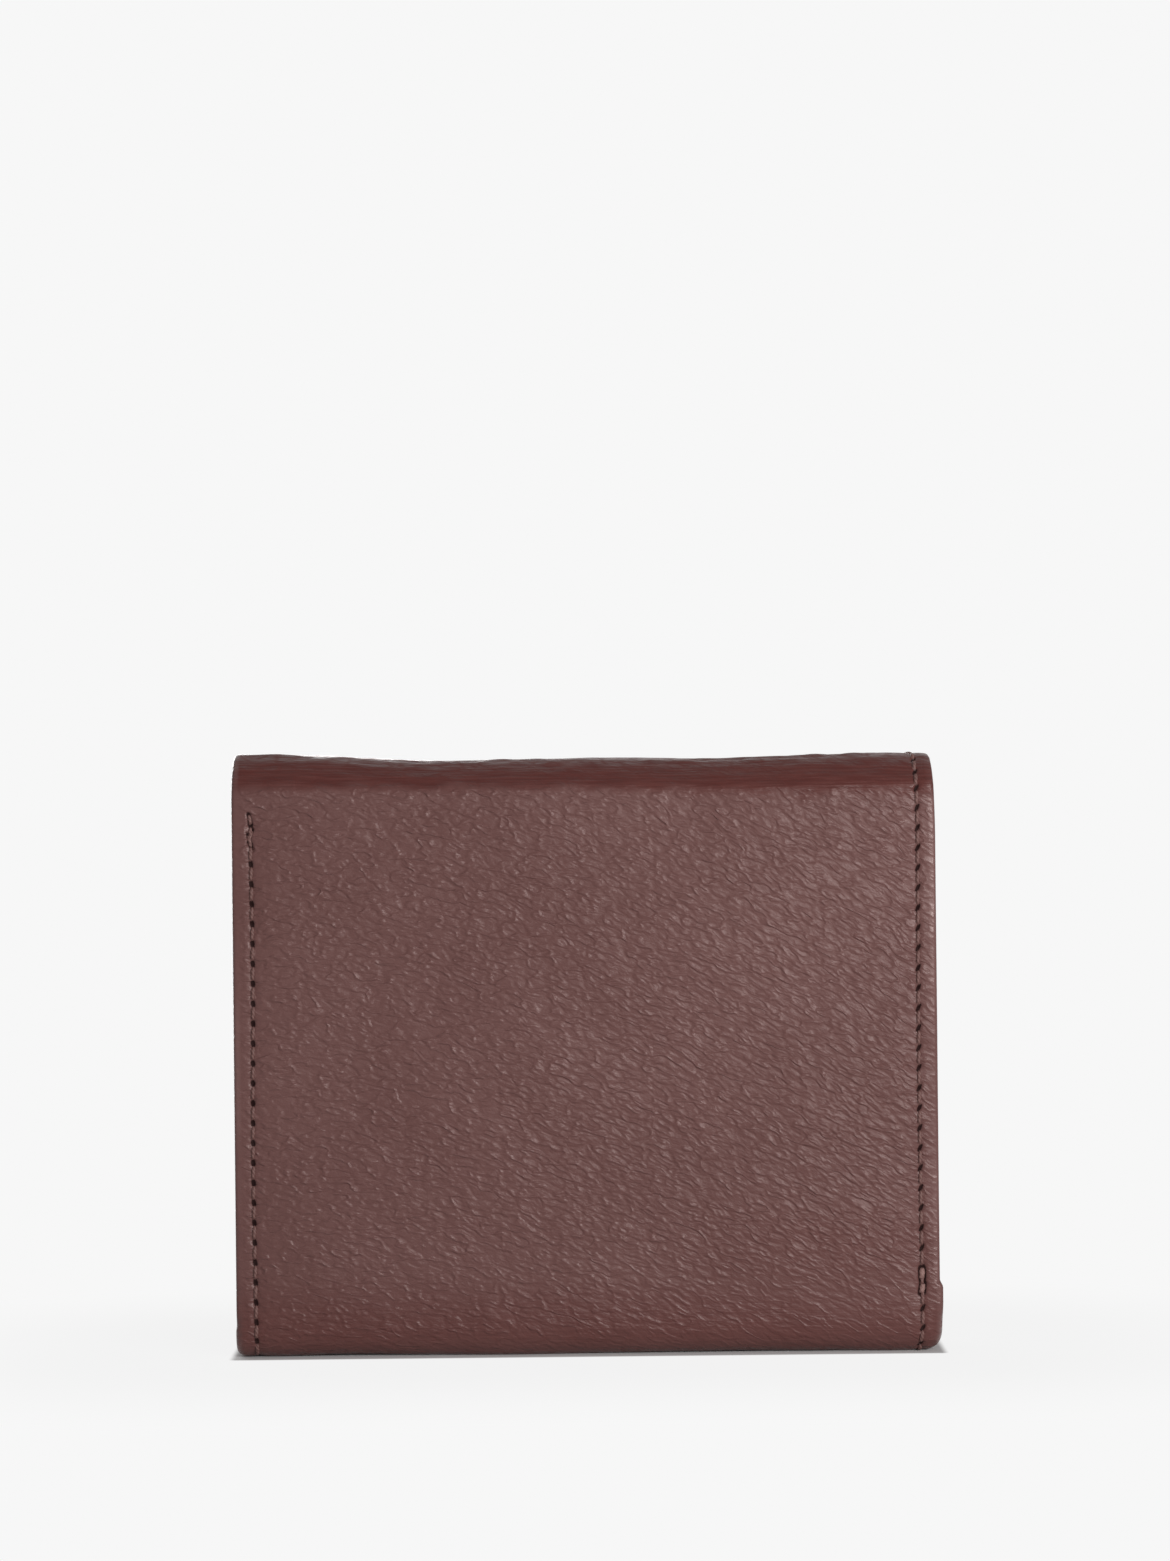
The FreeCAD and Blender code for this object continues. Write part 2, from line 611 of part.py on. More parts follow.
def build_zip():
    """Zip over the pouch's mouth: two tapes sewn into the walls, two coils, and their stops."""
    shelf, leg = dim.zip_drop + dim.tape, dim.zip_drop + dim.tape_leg
    tape_width = base_width - dim.pouch_side * 2
    front_edge, rear_edge = zip_n - dim.coil_half, zip_n + dim.coil_half
    front = [
        (dim.leather, dim.zip_drop, None), (front_edge, dim.zip_drop, None), (front_edge, shelf, None),
        (front_lining_n, shelf, None), (front_lining_n, leg, None), (dim.leather, leg, None),
    ]
    rear = [
        (backing_n, dim.zip_drop, None), (rear_edge, dim.zip_drop, None), (rear_edge, shelf, None),
        (rear_tape_n, shelf, None), (rear_tape_n, leg, None), (backing_n, leg, None),
    ]
    extrusion("zip_tape_front", FRONT, tape_width, [front])
    extrusion("zip_tape_rear", FRONT, tape_width, [rear])
    zip_coil("zip_coil_front", -1)
    zip_coil("zip_coil_rear", 1)
    stop_x = zip_length / 2 + dim.stop_length / 2
    half = dim.coil_height / 2 + dim.slider_gap
    across = rectangle(front_edge, rear_edge, coil_s - half, coil_s + half)
    extrusion("zip_end_stop", FRONT, dim.stop_length, [across], -stop_x)
    inner = zip_n - dim.coil_gap
    front_stop = rectangle(front_edge, inner, coil_s - half, coil_s + half)
    extrusion("zip_top_stop_front", FRONT, dim.stop_length, [front_stop], stop_x)
    inner = zip_n + dim.coil_gap
    rear_stop = rectangle(inner, rear_edge, coil_s - half, coil_s + half)
    extrusion("zip_top_stop_rear", FRONT, dim.stop_length, [rear_stop], stop_x)


def zip_coil(label, side):
    """One row of the zip: a cord with the coil's turns on it. side is -1 at the front wall, 1 at the rear."""
    edge = zip_n + dim.coil_half * side
    cord = edge - dim.coil_cord * side
    tip = zip_n + dim.coil_gap * side
    half = dim.coil_height / 2
    body = new_body(label)
    pad(body, draw(body, "YZ_Plane", [rectangle(edge, cord, coil_s - half, coil_s + half)]), zip_length)
    start = -zip_length / 2 + dim.coil_turn / 4
    if side > 0:
        start = start + dim.coil_pitch / 2
    turn_sketch = draw(body, "XY_Plane", [rectangle(start, start + dim.coil_turn, cord, tip)])
    bind(turn_sketch, "AttachmentOffset.Base.z", coil_s)
    turn = pad(body, turn_sketch, dim.coil_height)
    count = whole((zip_length - dim.coil_pitch) / dim.coil_pitch)
    repeat(body, turn, "X", dim.coil_pitch, count)
    place(body, FRONT)


def box_at(label, x, n, s):
    """Part::Box in the front panel's frame. Each of x, n and s is (from, to)."""
    box = doc.addObject("Part::Box", label)
    for size_name, (start, end) in zip(("Length", "Width", "Height"), (x, n, s)):
        bind(box, size_name, as_size(end) - start)
    place(box, FRONT, x[0], n[0], s[0])
    return box


def fuse(label, pieces):
    joined = doc.addObject("Part::MultiFuse", label)
    joined.Label = label
    joined.Shapes = pieces
    joined.Refine = True
    return joined


def cut(label, base, tool):
    result = doc.addObject("Part::Cut", label)
    result.Label = label
    result.Base = base
    result.Tool = tool
    return result


def cylinder_across(label, radius, x, n, s):
    """Part::Cylinder along n, in the front panel's frame. n is (from, to)."""
    round_bar = doc.addObject("Part::Cylinder", label)
    bind(round_bar, "Radius", radius)
    bind(round_bar, "Height", as_size(n[1]) - n[0])
    y, z, _ = FRONT
    round_bar.Placement = Placement(Vector(), Rotation(Vector(1, 0, 0), 90))
    bind(round_bar, "Placement.Base.x", x)
    bind(round_bar, "Placement.Base.y", y - n[0])
    bind(round_bar, "Placement.Base.z", z - as_size(s))
    return round_bar


def build_slider():
    """Slider: two plates joined by a web, side flanges that wrap the coils, and ears with the pull's pin."""
    along = (slider_x - dim.slider_length / 2, slider_x + dim.slider_length / 2)
    reach = dim.coil_half + dim.slider_gap + dim.slider_rim
    across = (zip_n - reach, zip_n + reach)
    web = (zip_n - dim.slider_web / 2, zip_n + dim.slider_web / 2)
    pieces = [
        box_at("slider_top_plate", along, across, (slider_top_s, slider_top_s + dim.slider_plate)),
        box_at("slider_low_plate", along, across, (slider_low_s - dim.slider_plate, slider_low_s)),
        box_at("slider_web_plate", along, web, (slider_top_s, slider_low_s)),
    ]
    for name, side in (("front", -1), ("rear", 1)):
        inner = zip_n + (dim.coil_half + dim.slider_gap) * side
        outer = zip_n + reach * side
        rim = (outer, inner) if side < 0 else (inner, outer)
        tape_top, tape_low = dim.zip_drop - dim.slider_gap, dim.zip_drop + dim.tape + dim.slider_gap
        pieces.append(box_at(f"slider_rim_top_{name}", along, rim, (slider_top_s, tape_top)))
        pieces.append(box_at(f"slider_rim_low_{name}", along, rim, (tape_low, slider_low_s)))
        ear_n = zip_n + ear_inner * side
        ear_far = zip_n + (ear_inner + dim.ear_sheet) * side
        ear = (ear_far, ear_n) if side < 0 else (ear_n, ear_far)
        ear_x = (slider_x - dim.eye_radius, slider_x + dim.eye_radius)
        pieces.append(box_at(f"slider_ear_{name}", ear_x, ear, (pin_s, slider_top_s)))
        pieces.append(cylinder_across(f"slider_ear_head_{name}", dim.eye_radius, slider_x, ear, pin_s))
    pin_reach = ear_inner + dim.ear_sheet
    pin = (zip_n - pin_reach, zip_n + pin_reach)
    pieces.append(cylinder_across("slider_pin", dim.pin_radius, slider_x, pin, pin_s))
    fuse("zip_slider", pieces)


def build_pull():
    """Pull: a metal link with an eye on the slider's pin, and a leather tab folded over its other end."""
    width = (zip_n - dim.pull_width / 2, zip_n + dim.pull_width / 2)
    half = dim.pull_sheet / 2
    end_x = slider_x - dim.pull_length
    link = fuse("pull_blank", [
        cylinder_across("pull_eye", dim.eye_radius, slider_x, width, pin_s),
        box_at("pull_link", (end_x, slider_x), width, (pin_s - half, pin_s + half)),
    ])
    bore = cylinder_across("pull_bore", dim.pin_radius + dim.pin_gap, slider_x, width, pin_s)
    cut("zip_pull", link, bore)
    tab_start = end_x + dim.tab_lap
    thick = half + dim.tab_sheet
    across = (zip_n - dim.tab_width / 2, zip_n + dim.tab_width / 2)
    tab = box_at("tab_blank", (tab_start - dim.tab_length, tab_start), across, (pin_s - thick, pin_s + thick))
    slot = box_at("tab_slot", (end_x, tab_start), width, (pin_s - half, pin_s + half))
    cut("pull_tab", tab, slot)


def build_snap():
    """Magnetic snap: case, magnet and rear disc on the flap, and a button on the front panel."""
    face_n = flap_sheet + dim.snap_case
    inner = dim.snap_radius - dim.case_wall
    rear_n = flap_sheet + dim.case_wall
    case = [
        (inner, flap_sheet, None), (dim.snap_radius, flap_sheet, None), (dim.snap_radius, face_n, None),
        (dim.case_mouth, face_n, None), (dim.case_mouth, face_n - dim.case_wall, None),
        (inner, face_n - dim.case_wall, None),
    ]
    turned("snap_case", FLAP, flap_snap_s, case)
    ring = inner - dim.magnet_gap
    magnet = rectangle(dim.magnet_hole, ring, rear_n, face_n - dim.case_wall)
    turned("snap_magnet", FLAP, flap_snap_s, magnet)
    neck_end = dim.leather + (dim.board - dim.washer) / 2
    disc = [
        (0, neck_end, None), (dim.neck_radius, neck_end, None), (dim.neck_radius, flap_sheet, None),
        (ring, flap_sheet, None), (ring, rear_n, None), (0, rear_n, None),
    ]
    turned("snap_rear_disc", FLAP, flap_snap_s, disc)
    bore = dim.neck_radius + dim.neck_gap
    washer = rectangle(bore, dim.washer_radius, neck_end, neck_end + dim.washer)
    turned("snap_case_washer", FLAP, flap_snap_s, washer)

    flange_n = -(dim.patch + dim.button_flange)
    neck_n = dim.leather + dim.washer
    button = [
        (0, neck_n, None), (dim.neck_radius, neck_n, None), (dim.neck_radius, -dim.patch, None),
        (dim.snap_radius, -dim.patch, None), (dim.snap_radius, flange_n, None), (dim.boss_foot, flange_n, None),
        (dim.boss_tip, flange_n - dim.boss_height, None), (0, flange_n - dim.boss_height, None),
    ]
    turned("snap_button", FRONT, front_snap_s, button)
    turned("snap_patch", FRONT, front_snap_s, rectangle(bore, dim.patch_radius, -dim.patch, 0))
    washer = rectangle(bore, dim.washer_radius, dim.leather, dim.leather + dim.washer)
    turned("snap_button_washer", FRONT, front_snap_s, washer)


NODES = [
    "shell_back", "back_thread_left", "back_thread_right", "back_board", "back_lining", "bill_divider",
    *[f"card_pocket_{number + 1}" for number in range(CARD_POCKETS)],
    "shell_top", "top_thread_right", "top_lining",
    "shell_flap", "flap_thread_left", "flap_thread_right", "flap_thread_tip", "flap_board", "flap_lining",
    "id_frame", "id_film", "snap_case", "snap_magnet", "snap_rear_disc", "snap_case_washer",
    "shell_base", "base_thread_left", "base_thread_right", "base_lining",
    "shell_front", "front_thread_left", "front_thread_right", "front_thread_mouth", "pouch_lining",
    "gusset_left", "gusset_right", "pouch_backing", "slip_pocket",
    "zip_tape_front", "zip_tape_rear", "zip_coil_front", "zip_coil_rear",
    "zip_end_stop", "zip_top_stop_front", "zip_top_stop_rear",
    "snap_button", "snap_patch", "snap_button_washer",
    "zip_slider", "zip_pull", "pull_tab",
]


def export():
    """Checks every object of the document, then writes each sub-part to its own file."""
    doc.recompute()
    for thing in doc.Objects:
        if {"Invalid", "Error"} & set(thing.State):
            raise RuntimeError(f"{thing.Label} failed: {thing.State}")
    shapes = {}
    for label in NODES:
        thing = doc.getObjectsByLabel(label)[0]
        shape = thing.Shape
        if shape.isNull() or not shape.isValid() or not shape.Solids:
            raise RuntimeError(f"{label} has no valid solid")
        shapes[label] = shape
    os.makedirs("parts", exist_ok=True)
    for label, shape in shapes.items():
        shape.exportStep(f"parts/{label}.step")
        print(f"{label:22s} {len(shape.Solids):3d} solids {shape.Volume:10.2f} mm3")


def report():
    """Prints the depths and the crease axes that follow from the sizes."""
    print("top depth", round(top_depth.number, 3), "base depth", round(base_depth.number, 3))
    for name, corner_y, corner_z, bend, side in (
        ("top_back", -top_depth / 2, dim.wallet_height, dim.top_bend, (1, -1)),
        ("top_front", top_depth / 2, dim.wallet_height, dim.top_bend, (-1, -1)),
        ("base_back", -top_depth / 2, as_size(0), dim.bottom_bend, (1, 1)),
        ("base_front", base_depth - top_depth / 2, as_size(0), dim.bottom_bend, (-1, 1)),
    ):
        inset = bend.number * MID_BEND
        y = corner_y.number + inset * side[0]
        z = corner_z.number + inset * side[1]
        print(f"{name} crease axis: y {y:.4f} z {z:.4f}")
    y, z, _ = FRONT
    print(f"pull pin: x {slider_x.number:.4f} y {y.number - zip_n.number:.4f} z {z.number - pin_s.number:.4f}")
    travel = zip_length.number - dim.slider_length.number - 2 * dim.slider_gap.number
    print(f"slider travel {travel:.3f}")


build_back()
build_top()
build_flap()
build_base()
build_front()
build_zip()
build_slider()
build_pull()
build_snap()
export()
report()
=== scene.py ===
# %% [markdown]
# # A small leather wallet that folds in three
# One long strip of grained leather makes the whole outside: flap, top, back, base and the front of
# a coin pouch. We build the looks around a fixed frame of solids that already carries every size
# and every joint. In each step we say what a piece is on the real wallet and why it is made so.

# %% Load the frame and keep its box
import math

import bmesh
import bpy
import numpy as np
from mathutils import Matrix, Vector


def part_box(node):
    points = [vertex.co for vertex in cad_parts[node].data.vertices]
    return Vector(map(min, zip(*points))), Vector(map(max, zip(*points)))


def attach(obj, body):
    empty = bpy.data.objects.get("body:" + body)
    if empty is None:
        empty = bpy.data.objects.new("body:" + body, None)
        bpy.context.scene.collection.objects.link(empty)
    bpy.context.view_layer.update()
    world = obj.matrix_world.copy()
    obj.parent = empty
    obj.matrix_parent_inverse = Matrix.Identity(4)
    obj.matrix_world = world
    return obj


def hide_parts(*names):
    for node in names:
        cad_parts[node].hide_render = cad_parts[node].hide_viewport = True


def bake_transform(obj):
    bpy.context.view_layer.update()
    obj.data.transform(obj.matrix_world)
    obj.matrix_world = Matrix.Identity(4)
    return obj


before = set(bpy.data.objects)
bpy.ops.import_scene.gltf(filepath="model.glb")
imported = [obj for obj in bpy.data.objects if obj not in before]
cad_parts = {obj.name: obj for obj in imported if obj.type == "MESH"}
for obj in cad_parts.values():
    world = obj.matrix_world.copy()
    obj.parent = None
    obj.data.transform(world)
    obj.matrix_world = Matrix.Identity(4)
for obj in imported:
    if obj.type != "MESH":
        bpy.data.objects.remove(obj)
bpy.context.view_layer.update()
MM = 0.001

# %% [markdown]
# ## Measures
# Every place is read from the frame, so nothing has to be fitted by eye. We think in millimetres,
# as a leather worker does, and turn to metres only when a mesh is made.


# %% Read the sizes we need
def box(node):
    low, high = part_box(node)
    return np.array(low) / MM, np.array(high) / MM


back_low, back_high = box("shell_back")
flap_low, flap_high = box("shell_flap")
front_high = box("shell_front")[1]
board_low, board_high = box("back_board")
BACK_Y = back_low[1]
FLAP_Y = flap_high[1]
FRONT_Y = front_high[1]
TOP_Z = box("shell_top")[1][2]
TIP_Z = flap_low[2]
MOUTH_Z = front_high[2]
HALF = back_high[0]
FRONT_HALF = front_high[0]
LEATHER = board_low[1] - BACK_Y
TOP_BEND = TOP_Z - board_high[2]
LOW_BEND = board_low[2]
print("leather", round(LEATHER, 2), "mm; bends", round(TOP_BEND, 2), "and", round(LOW_BEND, 2), "mm")

# %% [markdown]
# ## The line of the strip
# Seen from the side the leather is one line: up the flap, over the top, down the back, under the
# base and up the front. It always turns the same way. Leather has no sharp start to a bend, so the
# line is blurred a little: that pulls each bend inwards and softens where it begins. A place on the
# wallet is then three numbers: u across, t along the line, and depth below the outside face.

# %% Draw the line
TOP_ARC = TOP_BEND * math.pi / 2
LOW_ARC = LOW_BEND * math.pi / 2
run_lengths = [
    TOP_Z - TOP_BEND - TIP_Z, TOP_ARC, FLAP_Y - BACK_Y - 2 * TOP_BEND, TOP_ARC,
    TOP_Z - TOP_BEND - LOW_BEND, LOW_ARC, FRONT_Y - BACK_Y - 2 * LOW_BEND, LOW_ARC,
    MOUTH_Z - LOW_BEND,
]
marks = np.concatenate([[0.0], np.cumsum(run_lengths)])
headings = np.radians([90, 90, 180, 180, 270, 270, 360, 360, 450, 450])
END_T = marks[-1]
TOP_T = (marks[2] + marks[3]) / 2
BACK_T = marks[4]
BASE_T = (marks[6] + marks[7]) / 2
FRONT_T = marks[8]
LINE_STEP = 0.02
line_t = np.arange(-12.0, END_T + 12.0, LINE_STEP)
heading = np.interp(line_t, marks, headings)
line_y = np.cumsum(np.cos(heading)) * LINE_STEP
line_z = np.cumsum(np.sin(heading)) * LINE_STEP
first = np.searchsorted(line_t, 0.0)
line_y += FLAP_Y - line_y[first]
line_z += TIP_Z - line_z[first]
print("strip of leather", round(END_T, 1), "mm long")


# %% Soften the line
def blurred(values, reach):
    """Averages values over a bell curve. reach is the bell's width in millimetres."""
    span = int(3 * reach / LINE_STEP)
    weights = np.exp(-0.5 * (np.arange(-span, span + 1) * LINE_STEP / reach) ** 2)
    weights /= weights.sum()
    steps = np.diff(values)
    before = values[0] - steps[0] * np.arange(span, 0, -1)
    after = values[-1] + steps[-1] * np.arange(1, span + 1)
    return np.convolve(np.concatenate([before, values, after]), weights, "valid")


def smooth(x, low, high):
    x = np.clip((x - low) / (high - low), 0, 1)
    return x * x * (3 - 2 * x)


low_share = smooth(line_t, BACK_T + 30, BACK_T + 50)
soft_y = blurred(line_y, 1.0) * (1 - low_share) + blurred(line_y, 1.5) * low_share
soft_z = blurred(line_z, 1.0) * (1 - low_share) + blurred(line_z, 1.5) * low_share
print("softening lowers the top fold's bends by up to",
      round(float(np.abs(soft_z - line_z).max()), 2), "mm")


# %% From strip to wallet
def line_at(t, y_values, z_values):
    """Where a line is at t, and which way its inner side faces there."""
    y, z = np.interp(t, line_t, y_values), np.interp(t, line_t, z_values)
    ahead = t + 0.1
    dy = np.interp(ahead, line_t, y_values) - np.interp(t - 0.1, line_t, y_values)
    dz = np.interp(ahead, line_t, z_values) - np.interp(t - 0.1, line_t, z_values)
    length = np.hypot(dy, dz)
    return y, z, -dz / length, dy / length


def on_strip(u, t, depth):
    """A point of the strip in metres. Shallow points follow the soft line, deep ones the frame's."""
    y, z, in_y, in_z = line_at(t, soft_y, soft_z)
    y_hard, z_hard, in_y_hard, in_z_hard = line_at(t, line_y, line_z)
    deep = smooth(depth, 0.0, LEATHER)
    y = (y + in_y * depth) * (1 - deep) + (y_hard + in_y_hard * depth) * deep
    z = (z + in_z * depth) * (1 - deep) + (z_hard + in_z_hard * depth) * deep
    return np.stack([u, y, z], -1) * MM


middle_of_back = on_strip(np.zeros(1), np.array([(BACK_T + marks[5]) / 2]), np.zeros(1))[0]
print("middle of the back in mm:", (middle_of_back / MM).round(2))

# %% [markdown]
# ## Where the seams run
# A seam is a row of stitches just inside the edge. The machine stops and starts where the leather
# ends: the left seam begins a little below the top, the right one runs over it. At each end it sews
# back over its own stitches, which leaves a lump of thread: thick and round low on the right, thin
# and tangled high on the left. Each lump is a row of two ends, the width of its bed and its fatness.

# %% Lines of the seams
PITCH = 3.0
SWELL = 0.33
WIDE = HALF + SWELL
LEFT_SEAM = -(WIDE - 2.9)
RIGHT_SEAM = WIDE - 2.75


def top_nearness(t):
    """1 on the top, 0 on the back and the flap."""
    return smooth(t, marks[1] - 4, marks[2]) * (1 - smooth(t, marks[3], BACK_T + 4))


def z_on_back(z):
    """The place along the strip that lies at height z on the back."""
    return BACK_T + (TOP_Z - TOP_BEND) - z


def on_top_flat(t):
    """1 on the flat of the top, between its two bends."""
    return smooth(t, marks[2] - 1, marks[2] + 1.5) * (1 - smooth(t, marks[3] - 1.5, marks[3] + 1))


def right_draw_in(t):
    """The right edge is drawn in near the top fold, where the leather is pulled tight."""
    rise = smooth(t, marks[1] - 8, marks[2] + 2) * (1 - smooth(t, marks[3] - 2, BACK_T + 7))
    return 0.4 * rise


def seam_u(t, side):
    """Where a side seam lies across the strip. Hand-fed leather makes it wander a little."""
    if side < 0:
        return LEFT_SEAM + 0.12 * np.sin(t * 0.11)
    low_bend = smooth(t, z_on_back(4.0), z_on_back(0.5)) * (1 - smooth(t, BASE_T, FRONT_T))
    return RIGHT_SEAM - right_draw_in(t) - 0.35 * low_bend + 0.1 * np.sin(t * 0.07 + 1)


print("side seams", round(RIGHT_SEAM - LEFT_SEAM, 2), "mm apart")


# %% Rows of stitches
def stitch_ends(start, stop):
    """The needle holes on a straight run: whole stitches, all equally long."""
    count = max(1, round((stop - start) / PITCH))
    return np.linspace(start, stop, count + 1)


def side_row(side, start, stop):
    ends = stitch_ends(start, stop)
    u = np.array([seam_u(t, side) for t in ends])
    return [(u[k], ends[k], u[k + 1], ends[k + 1], side) for k in range(len(ends) - 1)]


def cross_row(t, start, stop):
    ends = stitch_ends(start, stop)
    return [(a, t, b, t, 1) for a, b in zip(ends[:-1], ends[1:])]


def corner_row(side):
    """Stitches round a corner of the flap's tip."""
    angles = np.linspace(0, math.pi / 2, 4)
    reach = TIP_CORNER - SEAM_IN
    u = side * (WIDE - TIP_CORNER + reach * np.cos(angles))
    t = TIP_CORNER - reach * np.sin(angles)
    return [(u[k], t[k], u[k + 1], t[k + 1], side) for k in range(3)]


# %% Plan the seams
TIP_CORNER = 9.0
SEAM_IN = 2.7
LEFT_START = z_on_back(80.3)
LEFT_STOP = z_on_back(2.6)
RIGHT_START = TIP_CORNER + 2.4
OUTER_STITCHES = (
    side_row(-1, TIP_CORNER, marks[1] - 1) + side_row(-1, LEFT_START, LEFT_STOP)
    + side_row(-1, LEFT_STOP, LEFT_STOP + 4.4) + side_row(-1, marks[7] - 1.5, END_T - 4.6)
    + side_row(1, TIP_CORNER, RIGHT_START) + side_row(1, RIGHT_START, END_T - 4.6)
    + corner_row(-1) + corner_row(1)
    + cross_row(SEAM_IN, TIP_CORNER - WIDE, WIDE - TIP_CORNER)
    + cross_row(END_T - SEAM_IN, LEFT_SEAM, RIGHT_SEAM))
RIGHT_TACK = ((13.0, 2.2, -0.02), (10.6, 1.9, 0.1))
LEFT_TACK = ((-0.35, 0.12, 82.0, 80.0, 0.3), (0.3, -0.4, 79.6, 77.6, 0.24),
             (-0.55, 0.2, 79.0, 76.6, 0.24))
LUMPS = []
for z, long, lean in RIGHT_TACK:
    seam_here = seam_u(z_on_back(z), 1)
    LUMPS.append((seam_here + lean, z_on_back(z), seam_here - lean, z_on_back(z - long), 0.62, 1.5))
for off_from, off_to, z_from, z_to, bed in LEFT_TACK:
    u_from, u_to = LEFT_SEAM + off_from, LEFT_SEAM + off_to
    LUMPS.append((u_from, z_on_back(z_from), u_to, z_on_back(z_to), bed, 1.05))
print("stitches on the outside:", len(OUTER_STITCHES), "and", len(LUMPS), "lumps")

# %% [markdown]
# ## The shape of the leather face
# The face isn't flat. It sags between the corners at the top fold, is pinched at both ends of the
# bottom fold, dips at each needle hole and swells softly between seams. All this is one function
# that says how deep the face lies at a place, so that leather, thread and rims agree everywhere.

# %% Soft noise
dice = np.random.default_rng(11)


def waves(count, u_length, t_length):
    """A handful of long waves in many directions, added up: gentle, smooth and the same each run."""
    angles = dice.uniform(0, 2 * math.pi, count)
    pull = dice.uniform(0.6, 1.5, count)
    phases = dice.uniform(0, 2 * math.pi, count)
    ku = np.cos(angles) * pull * 2 * math.pi / u_length
    kt = np.sin(angles) * pull * 2 * math.pi / t_length
    return ku, kt, phases


def wave_height(waves_made, u, t):
    ku, kt, phases = waves_made
    total = sum(np.sin(a * u + b * t + c) for a, b, c in zip(ku, kt, phases))
    return total / math.sqrt(len(ku) / 2)


slow_swell = waves(9, 42, 38)
small_swell = waves(14, 11, 9)
fold_streaks = waves(18, 26, 2.6)
fold_nicks = waves(16, 5.5, 3.2)
print("four sets of waves for the leather's face")


# %% Folds and edges
def pinch(t, edge, radius):
    """How far the ends of the bottom fold are pressed in, as a quarter round."""
    near = smooth(t, z_on_back(8.0), z_on_back(3.0)) * (1 - smooth(t, FRONT_T - 1, FRONT_T + 5))
    gap = np.clip(radius - edge, 0, radius)
    return near * (radius - np.sqrt(np.maximum(radius ** 2 - gap ** 2, 0)))


def facet(t):
    """The top fold isn't an even round: the leather is pulled to a flat slope halfway up."""
    slope = 0.0
    for turn in (t - marks[1], BACK_T - t):
        share = np.clip(turn / TOP_ARC, 0, 1)
        slope = slope + 0.3 * np.sin(math.pi * share) ** 2
        slope = slope - 0.16 * np.exp(-((turn / TOP_ARC - 0.13) / 0.1) ** 2)
    return slope


STEP_Z = 10.5


def strip_edges(t):
    """Left and right edge of the strip at t."""
    z_down = t - z_on_back(STEP_Z)
    wide = smooth(z_down, -0.5, 0.7)
    left = WIDE + 0.15 * smooth(t, z_on_back(5.2), z_on_back(4.0))
    right = WIDE + 0.48 * wide - 0.3 * smooth(t, BASE_T - 4, BASE_T + 4)
    return 0.06 * top_nearness(t) - left, right - right_draw_in(t) - 0.06 * top_nearness(t)


strip_left, strip_right = strip_edges(np.array([z_on_back(45.0), z_on_back(5.0)]))
print("strip's width high and low on the back:", (strip_right - strip_left).round(2), "mm")

# %% Grooves and needle holes
GROOVE = 0.13
HOLE_LONG = 0.55
HOLE_DEEP = 0.42
RIGHT_HOLE = (0.27, 0.42)
LEFT_HOLE = (0.31, -0.16)


def seam_dip(u, t):
    """The shallow groove under the stitches and the deep pit at each needle hole.

    A needle hole is a slit that leans with the thread's pull: it has half a width and a lean."""
    groove, pit = np.zeros_like(u), np.zeros_like(u)
    for u0, t0, u1, t1, side in OUTER_STITCHES:
        close = (np.abs(t - (t0 + t1) / 2) < abs(t1 - t0) / 2 + 1.7)
        close &= np.abs(u - (u0 + u1) / 2) < abs(u1 - u0) / 2 + 1.7
        if not close.any():
            continue
        length = math.hypot(u1 - u0, t1 - t0)
        along_u, along_t = (u1 - u0) / length, (t1 - t0) / length
        du, dt = u[close] - u0, t[close] - t0
        along = du * along_u + dt * along_t
        across = du * along_t - dt * along_u
        beyond = along - np.clip(along, 0, length)
        dip = GROOVE * np.exp(-0.5 * (across ** 2 + beyond ** 2) / 0.3)
        groove[close] = np.maximum(groove[close], dip)
        half_wide, lean = RIGHT_HOLE if side > 0 else LEFT_HOLE
        for spot in (0, length):
            run = along - spot
            hole = np.exp(-((across + lean * run) / half_wide) ** 2 - (run / HOLE_LONG) ** 4)
            pit[close] = np.maximum(pit[close], hole)
    for u0, t0, u1, t1, bed, _ in LUMPS:
        middle = (t0 + t1) / 2
        aside = (u - (u0 + u1) / 2 - (u1 - u0) * (t - middle) / (t1 - t0)) / bed
        pit = np.maximum(pit, 0.85 * np.exp(-aside ** 4 - (np.abs(t - middle) / (t1 - t0) * 1.7) ** 6))
    return groove, pit


first_stitch = OUTER_STITCHES[0]
at_hole = seam_dip(np.array([first_stitch[0]]), np.array([first_stitch[1]]))
print("groove and pit at the first needle hole:", [round(float(part[0]), 2) for part in at_hole])


